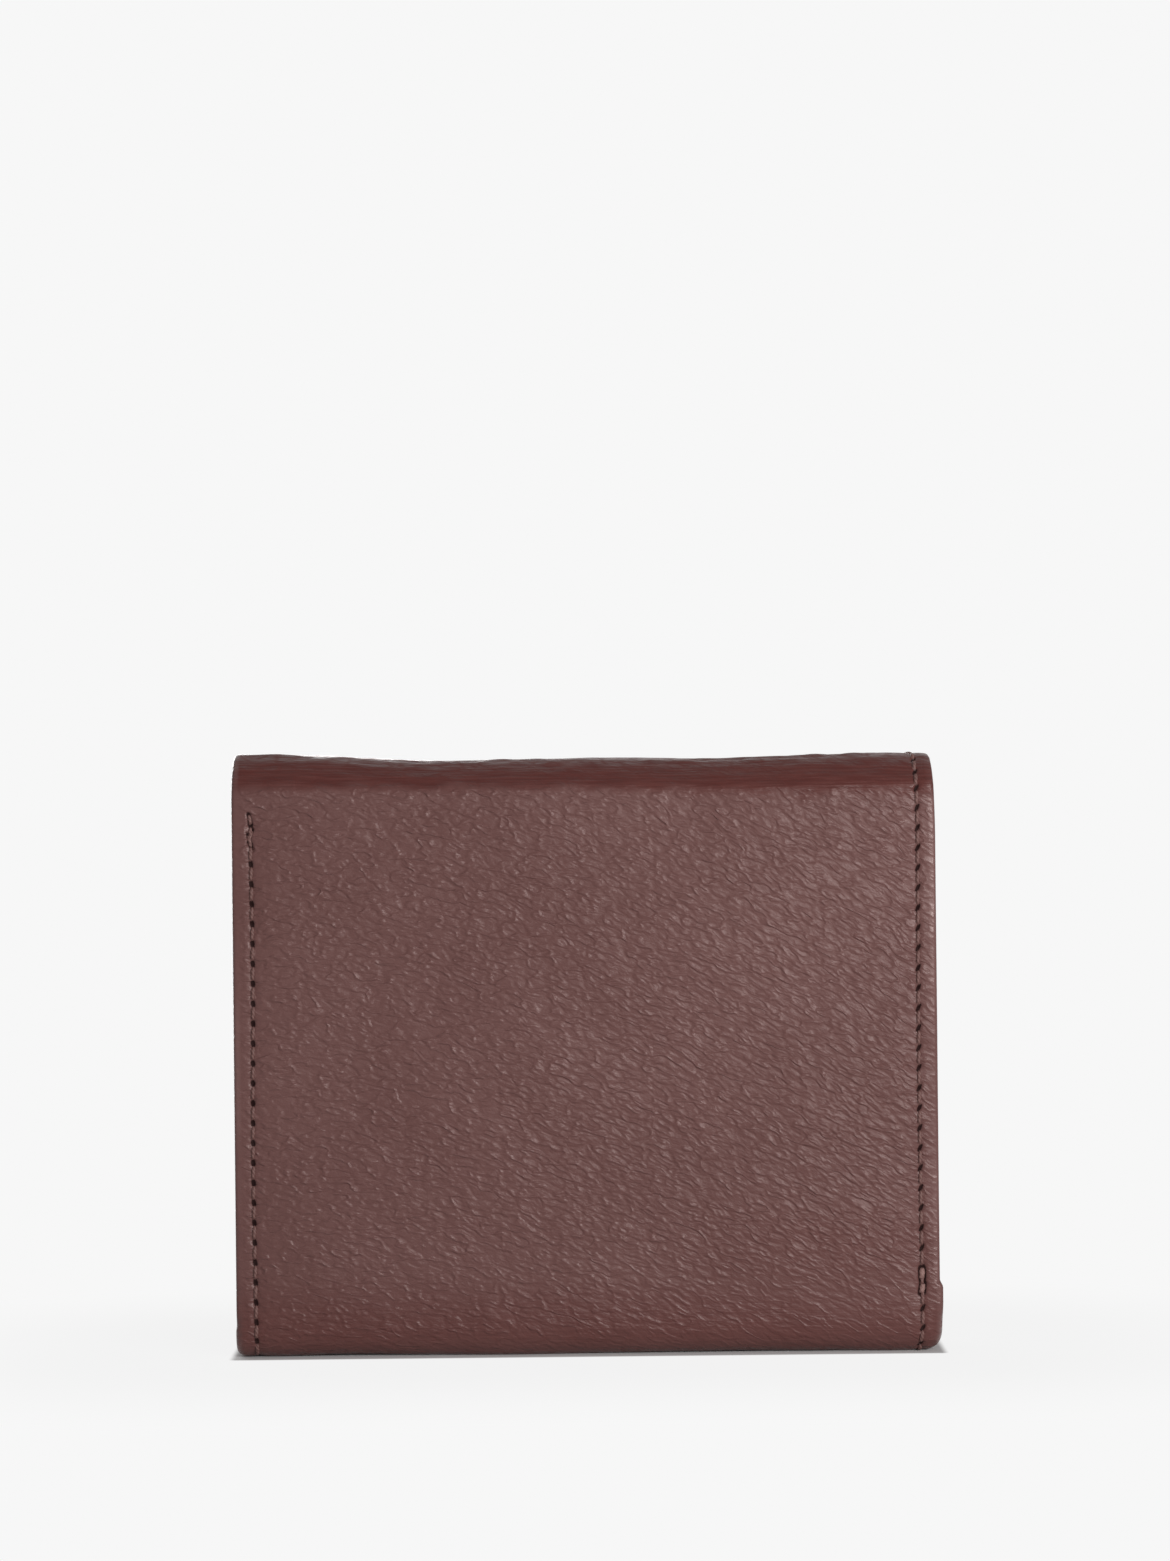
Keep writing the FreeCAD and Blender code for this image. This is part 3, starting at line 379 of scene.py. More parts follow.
# %% Masks for the leather's finish
def calmness(u, t):
    """Three masks: where the pebbles are pulled flat, folds with painted shade, and waxed edges with a
    painted highlight.
    """
    left, right = strip_edges(t)
    edge = np.minimum(u - left, right - u)
    fold_end = t - 0.1 - 1.5 * smooth(u, -15, 40) - 0.22 * wave_height(fold_nicks, u, t)
    # The top fold: pebbles pulled flat, fine lines along it, and painted shade.
    rounded = smooth(t, marks[1] + 1, marks[1] + 4) * (1 - smooth(t, marks[2] - 1, marks[2] + 2))
    rounded += (smooth(t, marks[3] - 2, marks[3] + 1)
                * (1 - smooth(fold_end, BACK_T - 2.9, BACK_T - 0.4)))
    base_fold = smooth(t, z_on_back(5.0), z_on_back(2.0)) * (1 - smooth(t, FRONT_T - 2, FRONT_T + 3))
    # Painted shade: darker towards the bottom of the back, less so in its last few millimetres, and
    # darker at the lower right.
    dark = smooth(t, z_on_back(14.0), z_on_back(4.5))
    dark = dark * (1 - 0.8 * smooth(t, z_on_back(3.0), z_on_back(0.8)))
    painted_shade_right = 0.55 * smooth(u, 0, 40) * smooth(t, z_on_back(26.0), z_on_back(16.0))
    before_base = 1 - smooth(t, BASE_T, BASE_T + 8)
    dark = np.maximum(dark, painted_shade_right) * before_base
    pressed = smooth(t, z_on_back(20.0), z_on_back(7.0)) * before_base
    pressed = pressed * (0.2 + 0.45 * smooth(u, -5, 38))
    calm = np.maximum(rounded, 0.7 * base_fold)
    for other in (0.75 * (1 - smooth(edge, 0.9, 2.4)), pressed, 0.6 * on_top_flat(t)):
        calm = np.maximum(calm, other)
    # Waxed edges: less rough, and painted with a thin lighter line as a highlight.
    waxed_and_highlight = smooth(edge, 0.1, 0.4) * (1 - smooth(edge, 0.7, 1.1))
    return calm, np.maximum(rounded, 0.5 * dark), waxed_and_highlight


in_field = calmness(np.zeros(1), np.array([z_on_back(45.0)]))
print("masks in the middle of the back:", [round(float(part[0]), 2) for part in in_field])

# %% Depth of the face
SAG_U = -6


def face_depth(u, t):
    """How deep the face lies below its plain line, and how much of a needle hole is there."""
    left, right = strip_edges(t)
    top = top_nearness(t)
    off_left = -(u - SAG_U) / (HALF + SAG_U)
    off_right = (u - SAG_U) / (HALF - SAG_U)
    sag = np.where(u < SAG_U, 0.4 - 1.25 * smooth(off_left, 0.3, 0.95), 0.4 - 0.5 * off_right ** 2)
    depth = top * sag
    depth += facet(t)
    wrinkled = top * (1 - 0.6 * on_top_flat(t))
    depth += wrinkled * (0.055 * wave_height(fold_streaks, u, t) + 0.05 * wave_height(fold_nicks, u, t))
    depth += 0.05 * top
    depth += 0.09 * wave_height(slow_swell, u, t) + 0.025 * wave_height(small_swell, u, t)
    depth += pinch(t, right - u, 2.9) + pinch(t, u - left, 1.3)
    edge = np.minimum(right - u, u - left)
    depth -= 0.12 * smooth(edge, 3.2, 7.0) - 0.06
    depth += 0.08 * (1 - smooth(edge, 0.3, 1.0))
    groove, pit = seam_dip(u, t)
    return depth + groove + HOLE_DEEP * pit, pit


probe_u = np.array([[0.0, LEFT_SEAM, RIGHT_SEAM]])
probe_t = np.full((1, 3), z_on_back(45.0))
print("face depth on the back, middle and seams:", face_depth(probe_u, probe_t)[0].round(3))

# %% [markdown]
# ## Making a sheet
# Leather, cloth and film are all sheets with two faces and a rounded edge. We could extrude a
# shape, but then the edge would be sharp and the faces dead flat. So one builder lays a grid of
# points on each face and lets both faces roll together along the free edges. The grid is closer
# at the edges, where the roll is, and at the seams, where the needle holes are. A mask called
# inside tells the far face from the near one.

# %% Points, rows and columns
ROLL_STEPS = [0.0, 0.05, 0.2, 0.44, 0.72, 1.0]


def mesh_from(name, points, faces, uvs, masks):
    """A smooth mesh with a flat map, in metres, and masks that its material can read."""
    mesh = bpy.data.meshes.new(name)
    mesh.from_pydata(points.reshape(-1, 3).tolist(), [], faces)
    mesh.polygons.foreach_set("use_smooth", np.ones(len(mesh.polygons), bool))
    layer = mesh.uv_layers.new(name="flat")
    corners = np.empty(len(mesh.loops), np.int32)
    mesh.loops.foreach_get("vertex_index", corners)
    layer.data.foreach_set("uv", uvs[corners].astype(np.float32).ravel())
    for key, values in masks.items():
        layer = mesh.attributes.new(key, "FLOAT", "POINT")
        layer.data.foreach_set("value", np.asarray(values, np.float32).ravel())
    mesh.validate()
    mesh.update()
    piece = bpy.data.objects.new(name, mesh)
    bpy.context.scene.collection.objects.link(piece)
    return piece


def edge_columns(rim, seam_from, seam_to, seam_step, field_from):
    """Distances from a side edge: the roll first, then the seam, then on to the open field."""
    rolled = [rim * share for share in ROLL_STEPS]
    between = np.arange(rim + 0.3, seam_from, 0.3)
    seam = np.arange(seam_from, seam_to, seam_step)
    return np.concatenate([rolled, between, seam, np.linspace(seam_to, field_from, 4)])


def spread(low, high, step, rim, rolled):
    """Places along a sheet. An end that is free gets the roll's close rows."""
    start = [low + rim * share for share in ROLL_STEPS] if rolled[0] else [low]
    stop = [high - rim * share for share in ROLL_STEPS[::-1]] if rolled[1] else [high]
    count = max(1, round((stop[0] - start[-1]) / step))
    middle = np.linspace(start[-1], stop[0], count + 1)[1:-1]
    return np.concatenate([start, middle, stop])


def quads(number):
    """Four-cornered faces between neighbours in a grid of point numbers."""
    corners = [number[:-1, :-1], number[:-1, 1:], number[1:, 1:], number[1:, :-1]]
    return np.stack(corners, -1).reshape(-1, 4)


print("rows of a free 10 mm strip:", spread(0, 10, 2.0, 0.5, (True, True)).round(2))


# %% The sheet builder
def free_gap(u, t, edges, ends, free, corners):
    """How far each point lies from the nearest free edge, also round the corners."""
    left, right = edges(t)
    gap = np.minimum(u - left, right - u)
    for end, is_free, radius in zip(ends, free, corners):
        if not is_free:
            continue
        run = np.abs(t - end)
        nearest = np.minimum(gap, run)
        if radius:
            in_corner = (gap < radius) & (run < radius)
            nearest = np.where(in_corner, radius - np.hypot(radius - gap, radius - run), nearest)
        gap = nearest
    return gap


def sheet(name, along, side_steps, step, edges, faces_at, lay, rim=0.5, corners=(0, 0),
          free=(True, True), masks=None):
    """A closed sheet. along: rows; side_steps: columns near a side, then one every step; edges(t):
    its sides; faces_at(u, t): depth of its two faces; lay(u, t, depth): where that is; rim: how far
    the roll reaches in; corners: corner radius at each end; free: which ends are free; masks(u, t):
    what its material reads."""
    along = np.asarray(along, float)
    left, right = edges(along)
    for end, radius in zip((along[0], along[-1]), corners):
        if radius:
            off = np.clip(radius - np.abs(along - end), 0, radius)
            cut = radius - np.sqrt(np.maximum(radius ** 2 - off ** 2, 0))
            left, right = left + cut, right - cut
    side_steps = np.asarray(side_steps)
    inner_left, inner_right = left + side_steps[-1], right - side_steps[-1]
    count = max(2, round(float((inner_right - inner_left).max()) / step))
    shares = np.linspace(0, 1, count + 1)[1:-1]
    u = np.concatenate([
        left[:, None] + side_steps[None, :],
        inner_left[:, None] + (inner_right - inner_left)[:, None] * shares[None, :],
        right[:, None] - side_steps[None, ::-1],
    ], 1)
    t = np.repeat(along[:, None], u.shape[1], 1)
    gap = free_gap(u, t, edges, (along[0], along[-1]), free, corners)
    roll = np.clip(1 - np.clip(gap, 0, None) / rim, 0, 1)
    roll = 1 - np.sqrt(np.maximum(1 - roll ** 2, 0))
    near, far = faces_at(u, t)
    half = (far - near) / 2
    points_near = lay(u, t, near + half * roll)
    points_far = lay(u, t, far - half * roll)
    rows, columns = u.shape
    number_near = np.arange(rows * columns).reshape(rows, columns)
    shared = np.zeros((rows, columns), bool)
    shared[:, 0] = shared[:, -1] = True
    if free[0]:
        shared[0] = True
    if free[1]:
        shared[-1] = True
    number_far = np.full((rows, columns), -1)
    number_far[shared] = number_near[shared]
    number_far[~shared] = rows * columns + np.arange((~shared).sum())
    points = np.concatenate([points_near.reshape(-1, 3), points_far[~shared]])
    faces = [quads(number_near)[:, ::-1], quads(number_far)]
    for row, is_free in zip((0, -1), free):
        if not is_free:
            a, b = number_near[row], number_far[row]
            band = np.stack([a[:-1], a[1:], b[1:], b[:-1]], -1)
            faces.append(band if row == 0 else band[:, ::-1])
    flat = np.stack([u, t], -1) * MM
    uvs = np.concatenate([flat.reshape(-1, 2), flat[~shared]])
    far_count = (~shared).sum()
    masks_made = {"inside": np.concatenate([np.zeros(rows * columns), np.ones(far_count)])}
    for key, values in (masks(u, t) if masks else {}).items():
        masks_made[key] = np.concatenate([values.ravel(), np.zeros(far_count)])
    faces = np.concatenate(faces)
    corner = points[faces]
    if np.einsum("ij,ij", corner[:, 0], np.cross(corner[:, 1], corner[:, 2])) < 0:
        faces = faces[:, ::-1]
    faces = [[v for k, v in enumerate(f) if v != f[k - 1]] for f in faces.tolist()]
    return mesh_from(name, points, faces, uvs, masks_made)


print("sheet builder ready")

# %% [markdown]
# ## The outside leather
# The strip is cut into four pieces, one for each fold, because a piece may bend at one fold only.
# The cuts lie in the middle of the top and of the base and low on the back, where nothing bends.
# Both sides of a cut get the same normals, worked out from the whole strip, so no line shows.

# %% Normals across a cut
CUT_T = z_on_back(STEP_Z)
RIM = LEATHER / 2
ROW_STEP = PITCH / 8
FIELD_STEP = 0.72


def strip_normals(u, t, depth_at):
    """Which way the whole strip's face looks at (u, t), cut or not."""
    def point(du, dt):
        return on_strip(u + du, t + dt, depth_at(u + du, t + dt))
    across = point(0.12, 0) - point(-0.12, 0)
    down = point(0, 0.12) - point(0, -0.12)
    normal = np.cross(down, across)
    return normal / np.linalg.norm(normal, axis=-1, keepdims=True)


def leather_faces(u, t):
    """Depth of the strip's two faces. Pinched ends of the base stay at least three quarters thick."""
    depth = face_depth(u, t)[0]
    left, right = strip_edges(t)
    pressed = pinch(t, right - u, 2.9) + pinch(t, u - left, 1.3)
    return depth, np.maximum(LEATHER, LEATHER * 0.75 + pressed)


def match_normals(piece, end_rows, edges, depth_at, far=False):
    """Same normals on both sides of a cut. Zero leaves Blender's own normal as it is."""
    mesh = piece.data
    layer = mesh.uv_layers["flat"].data
    normals = np.zeros((len(mesh.vertices), 3))
    u = np.zeros(len(mesh.vertices))
    t = np.full(len(mesh.vertices), 1e9)
    for loop in mesh.loops:
        u[loop.vertex_index], t[loop.vertex_index] = layer[loop.index].uv
    u, t = u / MM, t / MM
    inside = np.zeros(len(mesh.vertices), np.float32)
    mesh.attributes["inside"].data.foreach_get("value", inside)
    left, right = edges(t)
    for row in end_rows:
        near = (np.abs(t - row) < 0.02) & ((inside > 0.5) == far)
        near &= np.minimum(u - left, right - u) > RIM + 0.05
        normals[near] = strip_normals(u[near], t[near], depth_at) * (-1 if far else 1)
    mesh.normals_split_custom_set_from_vertices(normals.tolist())


print("cuts at", [round(float(t), 1) for t in (TOP_T, CUT_T, BASE_T)], "mm along the strip")


# %% A piece of the outside
def leather_masks(u, t):
    """What the leather's finish reads: needle holes, flat pebbles, folds with painted shade and waxed
    edges with a painted highlight.
    """
    calm, stretched, waxed_and_highlight = calmness(u, t)
    return {"pit": seam_dip(u, t)[1], "calm": calm, "stretched": stretched, "rubbed": waxed_and_highlight}


def leather_piece(name, start, stop, free, corners, bodies, bend_from, bend_to, nodes):
    """One of the four pieces: a sheet that replaces its frame nodes."""
    rows = spread(start, stop, ROW_STEP, RIM, free)
    steps = edge_columns(RIM, 1.5, 3.7, 0.17, 4.9)
    piece = sheet(name, rows, steps, FIELD_STEP, strip_edges, leather_faces, on_strip, RIM, corners,
                  free, masks=leather_masks)
    cuts = [row for row, is_free in zip((start, stop), free) if not is_free]
    match_normals(piece, cuts, strip_edges, lambda u, t: face_depth(u, t)[0])
    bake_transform(piece)
    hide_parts(*nodes)
    print(name, len(piece.data.polygons), "faces")
    return piece


def metres(x, y, z):
    return (x * MM, y * MM, z * MM)


# %% Cut and fold the leather
# Each piece's two bodies, and where its one bend starts and ends.
BENDS = {
    "back_top": (("back", "top_spine"), metres(0, BACK_Y, TOP_Z - TOP_BEND),
                 metres(0, BACK_Y + TOP_BEND, TOP_Z)),
    "flap": (("top_spine", "flap"), metres(0, FLAP_Y - TOP_BEND, TOP_Z),
             metres(0, FLAP_Y, TOP_Z - TOP_BEND)),
    "back_low": (("back", "base_spine"), metres(0, BACK_Y, LOW_BEND),
                 metres(0, BACK_Y + LOW_BEND, 0)),
    "front": (("base_spine", "front_panel"), metres(0, FRONT_Y - LOW_BEND, 0),
              metres(0, FRONT_Y, LOW_BEND)),
}
PARTS = {"flap": (0.0, TOP_T), "back_top": (TOP_T, CUT_T), "back_low": (CUT_T, BASE_T),
         "front": (BASE_T, END_T)}
LEATHER_PLAN = {
    "flap": ((True, False), (TIP_CORNER, 0), ["shell_flap"]),
    "back_top": ((False, False), (0, 0), ["shell_back", "shell_top"]),
    "back_low": ((False, False), (0, 0), ["shell_base"]),
    "front": ((False, True), (0, 2.0), ["shell_front"]),
}
leather = {}
for part, (free, corners, nodes) in LEATHER_PLAN.items():
    leather[part] = leather_piece("leather_" + part, *PARTS[part], free, corners, *BENDS[part], nodes)

# %% [markdown]
# ## Node helpers
# A material is a small net of nodes. These helpers add a node, set its sockets and join it up, so
# that each finish below reads as a short recipe.


# %% Node helpers
def node(tree, kind, **sockets):
    """Adds a node. _name sets a property, i0 a socket by number, any other word a socket by name."""
    made = tree.nodes.new(kind)
    for key in [k for k in sockets if k.startswith("_")]:
        setattr(made, key[1:], sockets.pop(key))
    for key, value in sockets.items():
        place = int(key[1:]) if key[0] == "i" and key[1:].isdigit() else key.replace("_", " ")
        if isinstance(value, bpy.types.NodeSocket):
            tree.links.new(value, made.inputs[place])
        else:
            made.inputs[place].default_value = value
    return made


def sums(tree, kind, a, b=0.0, c=None):
    """One step of arithmetic on values or sockets."""
    made = node(tree, "ShaderNodeMath", _operation=kind, i0=a, i1=b)
    if c is not None:
        made.inputs[2].default_value = c
    return made.outputs[0]


def ramp(tree, value, low, high, out_low=0.0, out_high=1.0):
    """Eases from out_low to out_high as the value goes from low to high."""
    made = node(tree, "ShaderNodeMapRange", _interpolation_type="SMOOTHSTEP", Value=value,
                From_Min=low, From_Max=high, To_Min=out_low, To_Max=out_high)
    return made.outputs[0]


def mixed(tree, share, a, b):
    made = node(tree, "ShaderNodeMix", _data_type="RGBA", i0=share, i6=a, i7=b)
    return made.outputs[2]


# %% Groups and materials
def group(name, inputs, outputs):
    made = bpy.data.node_groups.new(name, "ShaderNodeTree")
    for label, kind, value in inputs:
        socket = made.interface.new_socket(label, in_out="INPUT", socket_type="NodeSocket" + kind)
        if value is not None:
            socket.default_value = value
    for label, kind in outputs:
        made.interface.new_socket(label, in_out="OUTPUT", socket_type="NodeSocket" + kind)
    return made, made.nodes.new("NodeGroupInput"), made.nodes.new("NodeGroupOutput")


def material(name, **values):
    made = bpy.data.materials.new(name)
    made.use_nodes = True
    shader = made.node_tree.nodes["Principled BSDF"]
    for key, value in values.items():
        shader.inputs[key.replace("_", " ")].default_value = value
    return made, made.node_tree, shader


def plain(*colour):
    """A colour written as it looks on a screen, 0 to 255, turned into light."""
    parts = [c / 255 for c in colour]
    return [c / 12.92 if c < 0.04 else ((c + 0.055) / 1.055) ** 2.4 for c in parts] + [1.0]


def place(tree, effect, **sockets):
    """Places a node group in a material with values of its own."""
    made = tree.nodes.new("ShaderNodeGroup")
    made.node_tree = effect
    for key, value in sockets.items():
        socket = made.inputs[key.replace("_", " ")]
        if isinstance(value, bpy.types.NodeSocket):
            tree.links.new(value, socket)
        else:
            socket.default_value = value
    return made.outputs


# %% [markdown]
# ## Leather grain
# Grained leather is a field of flat pebbles with fine creases between them. The creases are the
# borders of random cells. Noise makes the cells uneven, and its middle line draws thin raised
# wrinkles among them. All of it is longer one way, the way the hide was stretched, and that way
# curls slowly across the hide. The group puts out a height for bump, a mask of the creases and a
# slow change of tone. The pattern grows with the cell size, so one group suits coarse and fine hides.

# %% Build the grain group
grain, grain_in, grain_out = group(
    "pebble_grain",
    [("Place", "Vector", None), ("Cell", "Float", 0.0015), ("Slant", "Float", 0.4),
     ("Curl", "Float", 0.0), ("Stretch", "Float", 1.4), ("Warp", "Float", 0.5)],
    [("Height", "Float"), ("Crease", "Float"), ("Tone", "Float")])
sides = node(grain, "ShaderNodeSeparateXYZ", Vector=grain_in.outputs["Place"]).outputs
slope = sums(grain, "MULTIPLY", sides["X"], grain_in.outputs["Curl"])
slope = sums(grain, "ADD", slope, grain_in.outputs["Slant"])
dropped = sums(grain, "SUBTRACT", sides["Y"], sums(grain, "MULTIPLY", sides["X"], slope))
sheared = node(grain, "ShaderNodeCombineXYZ", X=sides["X"], Y=dropped, Z=1.0).outputs[0]
scaled = node(grain, "ShaderNodeVectorMath", _operation="SCALE", i0=sheared)
grain.links.new(sums(grain, "DIVIDE", 1.0, grain_in.outputs["Cell"]), scaled.inputs["Scale"])
bend_noise = node(grain, "ShaderNodeTexNoise", Vector=scaled.outputs[0], Scale=0.8, Detail=2.0)
centred = node(grain, "ShaderNodeVectorMath", _operation="SUBTRACT", i0=bend_noise.outputs["Color"],
               i1=(0.5, 0.5, 0.5))
pushed = node(grain, "ShaderNodeVectorMath", _operation="SCALE", i0=centred.outputs[0])
grain.links.new(sums(grain, "MULTIPLY", grain_in.outputs["Warp"], 2.0), pushed.inputs["Scale"])
warped = node(grain, "ShaderNodeVectorMath", _operation="ADD", i0=scaled.outputs[0],
              i1=pushed.outputs[0])
stretch = node(grain, "ShaderNodeCombineXYZ", X=1.0, Y=grain_in.outputs["Stretch"], Z=1.0)
laid = node(grain, "ShaderNodeVectorMath", _operation="MULTIPLY", i0=warped.outputs[0],
            i1=stretch.outputs[0]).outputs[0]
border = node(grain, "ShaderNodeTexVoronoi", _voronoi_dimensions="2D", _feature="DISTANCE_TO_EDGE",
              Vector=laid, Scale=1.0, Randomness=1.0)
dome = node(grain, "ShaderNodeTexVoronoi", _voronoi_dimensions="2D", _feature="SMOOTH_F1",
            Vector=laid, Scale=1.0, Smoothness=0.7)
wrinkle = node(grain, "ShaderNodeTexNoise", Vector=laid, Scale=0.72, Detail=1.5, Roughness=0.6)
fine = node(grain, "ShaderNodeTexNoise", Vector=laid, Scale=2.0, Detail=3.0, Roughness=0.62)
medium = node(grain, "ShaderNodeTexNoise", Vector=laid, Scale=0.5, Detail=2.0)
off_crest = sums(grain, "ABSOLUTE", sums(grain, "SUBTRACT", wrinkle.outputs["Fac"], 0.5))
crest = ramp(grain, off_crest, 0.0, 0.1, 1.0, 0.0)
crease = ramp(grain, border.outputs["Distance"], 0.0, 0.26, 1.0, 0.0)
broken = ramp(grain, medium.outputs["Fac"], 0.35, 0.55, 0.1, 1.0)
crease_cut = sums(grain, "MULTIPLY", crease, broken)
height = sums(grain, "MULTIPLY", crease_cut, -0.22)
height = sums(grain, "ADD", height, sums(grain, "MULTIPLY", crest, 0.42))
height = sums(grain, "ADD", height, sums(grain, "MULTIPLY", dome.outputs["Distance"], -0.2))
height = sums(grain, "ADD", height, sums(grain, "MULTIPLY", fine.outputs["Fac"], 0.55))
height = sums(grain, "ADD", height, sums(grain, "MULTIPLY", medium.outputs["Fac"], 0.7))
slow = node(grain, "ShaderNodeTexNoise", Vector=scaled.outputs[0], Scale=0.1, Detail=2.0)
grain.links.new(height, grain_out.inputs["Height"])
grain.links.new(crease_cut, grain_out.inputs["Crease"])
grain.links.new(slow.outputs["Fac"], grain_out.inputs["Tone"])
print("grain group:", len(grain.nodes), "nodes")

# %% [markdown]
# ## The outside leather's finish
# The hide is dyed a dark reddish brown and has a thin clear finish that shines softly. That gloss
# has one strength and a slightly warm tint all over; roughness and bump make it differ from place
# to place. Creases are duller, and their colour is painted darker as shade. Needle holes are
# painted nearly black as shade. Where the leather is pulled round a fold the pebbles are flat and
# fine lines run along it; there and low on the back the colour is painted darker as shade. The
# edges are rubbed with wax, so they are less rough, and a thin lighter line beside each is a
# painted highlight.

# %% Outside leather
shell, tree, shader = material("shell_leather", Roughness=0.5, Specular_IOR_Level=0.27,
                              Specular_Tint=(1.0, 0.87, 0.84, 1.0))
flat_map = node(tree, "ShaderNodeUVMap", _uv_map="flat").outputs[0]
marks_out = place(tree, grain, Place=flat_map, Cell=0.0027, Slant=0.26, Curl=2.2, Stretch=2.1,
                  Warp=0.24)
pit, calm, stretched, rubbed = (
    node(tree, "ShaderNodeAttribute", _attribute_name=name).outputs["Fac"]
    for name in ("pit", "calm", "stretched", "rubbed"))
along_fold = node(tree, "ShaderNodeVectorMath", _operation="MULTIPLY", i0=flat_map, i1=(140, 2600, 0))
fold_lines = node(tree, "ShaderNodeTexNoise", Vector=along_fold.outputs[0], Scale=1.0,
                  Detail=2.0).outputs["Fac"]
tone = ramp(tree, marks_out["Tone"], 0.35, 0.65)
ground = mixed(tree, tone, plain(97, 65, 62), plain(101, 69, 66))
lively = sums(tree, "SUBTRACT", 1.0, sums(tree, "MULTIPLY", calm, 0.8))
# Creases are painted darker as shade, less where the pebbles are pulled flat.
shade = sums(tree, "MULTIPLY", sums(tree, "MULTIPLY", marks_out["Crease"], 0.08), lively)
with_crease_shade = mixed(tree, shade, ground, plain(70, 40, 36))
# Painted shade on the top fold and low on the back, with fine lines along the fold.
fold_painted_shade = mixed(tree, ramp(tree, fold_lines, 0.35, 0.65), plain(73, 30, 26), plain(84, 42, 38))
with_fold_shade = mixed(tree, stretched, with_crease_shade, fold_painted_shade)
# A painted highlight: a thin lighter line beside the waxed edges. The wax itself only lowers the
# roughness below.
waxed_and_highlight = sums(tree, "MULTIPLY", rubbed, ramp(tree, marks_out["Tone"], 0.45, 0.6, 0.2, 1.0))
with_edge_highlight = mixed(tree, sums(tree, "MULTIPLY", waxed_and_highlight, 0.3), with_fold_shade, plain(134, 104, 101))
# Needle holes are painted nearly black as shade.
deep = ramp(tree, pit, 0.16, 0.5)
with_hole_shade = mixed(tree, deep, with_edge_highlight, plain(30, 11, 10))
tree.links.new(with_hole_shade, shader.inputs["Base Color"])
dull = sums(tree, "MULTIPLY_ADD", marks_out["Crease"], 0.2, 0.34)
dull = sums(tree, "ADD", dull, sums(tree, "MULTIPLY", deep, 0.5))
dull = sums(tree, "SUBTRACT", dull, sums(tree, "MULTIPLY", waxed_and_highlight, 0.12))
tree.links.new(dull, shader.inputs["Roughness"])
relief = sums(tree, "MULTIPLY", marks_out["Height"], lively)
fold_relief = sums(tree, "MULTIPLY", fold_lines, stretched)
relief = sums(tree, "ADD", relief, sums(tree, "MULTIPLY", fold_relief, 0.5))
bump = node(tree, "ShaderNodeBump", Strength=1.0, Distance=0.00024, Height=relief)
tree.links.new(bump.outputs[0], shader.inputs["Normal"])
for piece in leather.values():
    piece.data.materials.append(shell)
print("outside leather:", len(tree.nodes), "nodes")

# %% [markdown]
# ## Woven cloth
# Cloth is two sets of yarns that go over and under each other. Two waves at right angles give the
# yarns, and their product says which one lies on top. The lining and the zip tape use the same group,
# each with its own yarn size.

# %% Weave group
weave, weave_in, weave_out = group(
    "woven_yarns",
    [("Place", "Vector", None), ("Yarn", "Float", 0.0004), ("Unevenness", "Float", 0.3)],
    [("Height", "Float"), ("Gap", "Float")])
counts = sums(weave, "DIVIDE", math.pi, weave_in.outputs["Yarn"])
stretched_place = node(weave, "ShaderNodeVectorMath", _operation="SCALE", i0=weave_in.outputs["Place"])
weave.links.new(counts, stretched_place.inputs["Scale"])
split = node(weave, "ShaderNodeSeparateXYZ", Vector=stretched_place.outputs[0])
warp = sums(weave, "SINE", split.outputs["X"])
weft = sums(weave, "SINE", split.outputs["Y"])
over = sums(weave, "MULTIPLY", warp, weft)
fuzz = node(weave, "ShaderNodeTexNoise", Vector=stretched_place.outputs[0], Scale=0.35, Detail=3.0)
ridge = sums(weave, "ADD", sums(weave, "ABSOLUTE", warp), sums(weave, "ABSOLUTE", weft))
woven = sums(weave, "MULTIPLY_ADD", over, 0.35, 0.5)
woven = sums(weave, "ADD", woven, sums(weave, "MULTIPLY", ridge, 0.25))
rough = sums(weave, "MULTIPLY", fuzz.outputs["Fac"], weave_in.outputs["Unevenness"])
weave.links.new(sums(weave, "ADD", woven, rough), weave_out.inputs["Height"])
weave.links.new(ramp(weave, ridge, 0.25, 0.9, 1.0, 0.0), weave_out.inputs["Gap"])


def bumped(tree, shader, strength, distance, height):
    """Gives a material small relief. distance is the relief's real height in metres."""
    made = node(tree, "ShaderNodeBump", Strength=strength, Distance=distance, Height=height)
    tree.links.new(made.outputs[0], shader.inputs["Normal"])


def cloth(name, light, dark, yarn, sheen):
    made, tree, shader = material(name, Roughness=0.85, Specular_IOR_Level=0.25, Sheen_Weight=sheen)
    lay = node(tree, "ShaderNodeUVMap", _uv_map="flat").outputs[0]
    threads = place(tree, weave, Place=lay, Yarn=yarn, Unevenness=0.5)
    worn = node(tree, "ShaderNodeTexNoise", Vector=lay, Scale=160.0, Detail=3.0)
    base = mixed(tree, ramp(tree, worn.outputs["Fac"], 0.35, 0.7), plain(*dark), plain(*light))
    # The gaps between yarns are painted darker as shade.
    painted_gap_shade = plain(*[c * 0.6 for c in dark])
    shaded = mixed(tree, sums(tree, "MULTIPLY", threads["Gap"], 0.6), base, painted_gap_shade)
    tree.links.new(shaded, shader.inputs["Base Color"])
    bumped(tree, shader, 0.8, yarn * 0.3, threads["Height"])
    return made


lining_cloth = cloth("lining_cloth", (82, 58, 53), (66, 45, 41), 0.00042, 0.2)
tape_cloth = cloth("zip_tape_cloth", (78, 55, 50), (60, 41, 37), 0.00055, 0.15)
print("cloths ready")

# %% [markdown]
# ## Thread finish
# The seams are sewn with a waxed thread of two plies twisted together, dyed to match the leather.
# The twist is in the mesh; the stripes of fibre between the plies are fine bump. Where a stitch
# dives into its hole its colour is painted dark as shade.

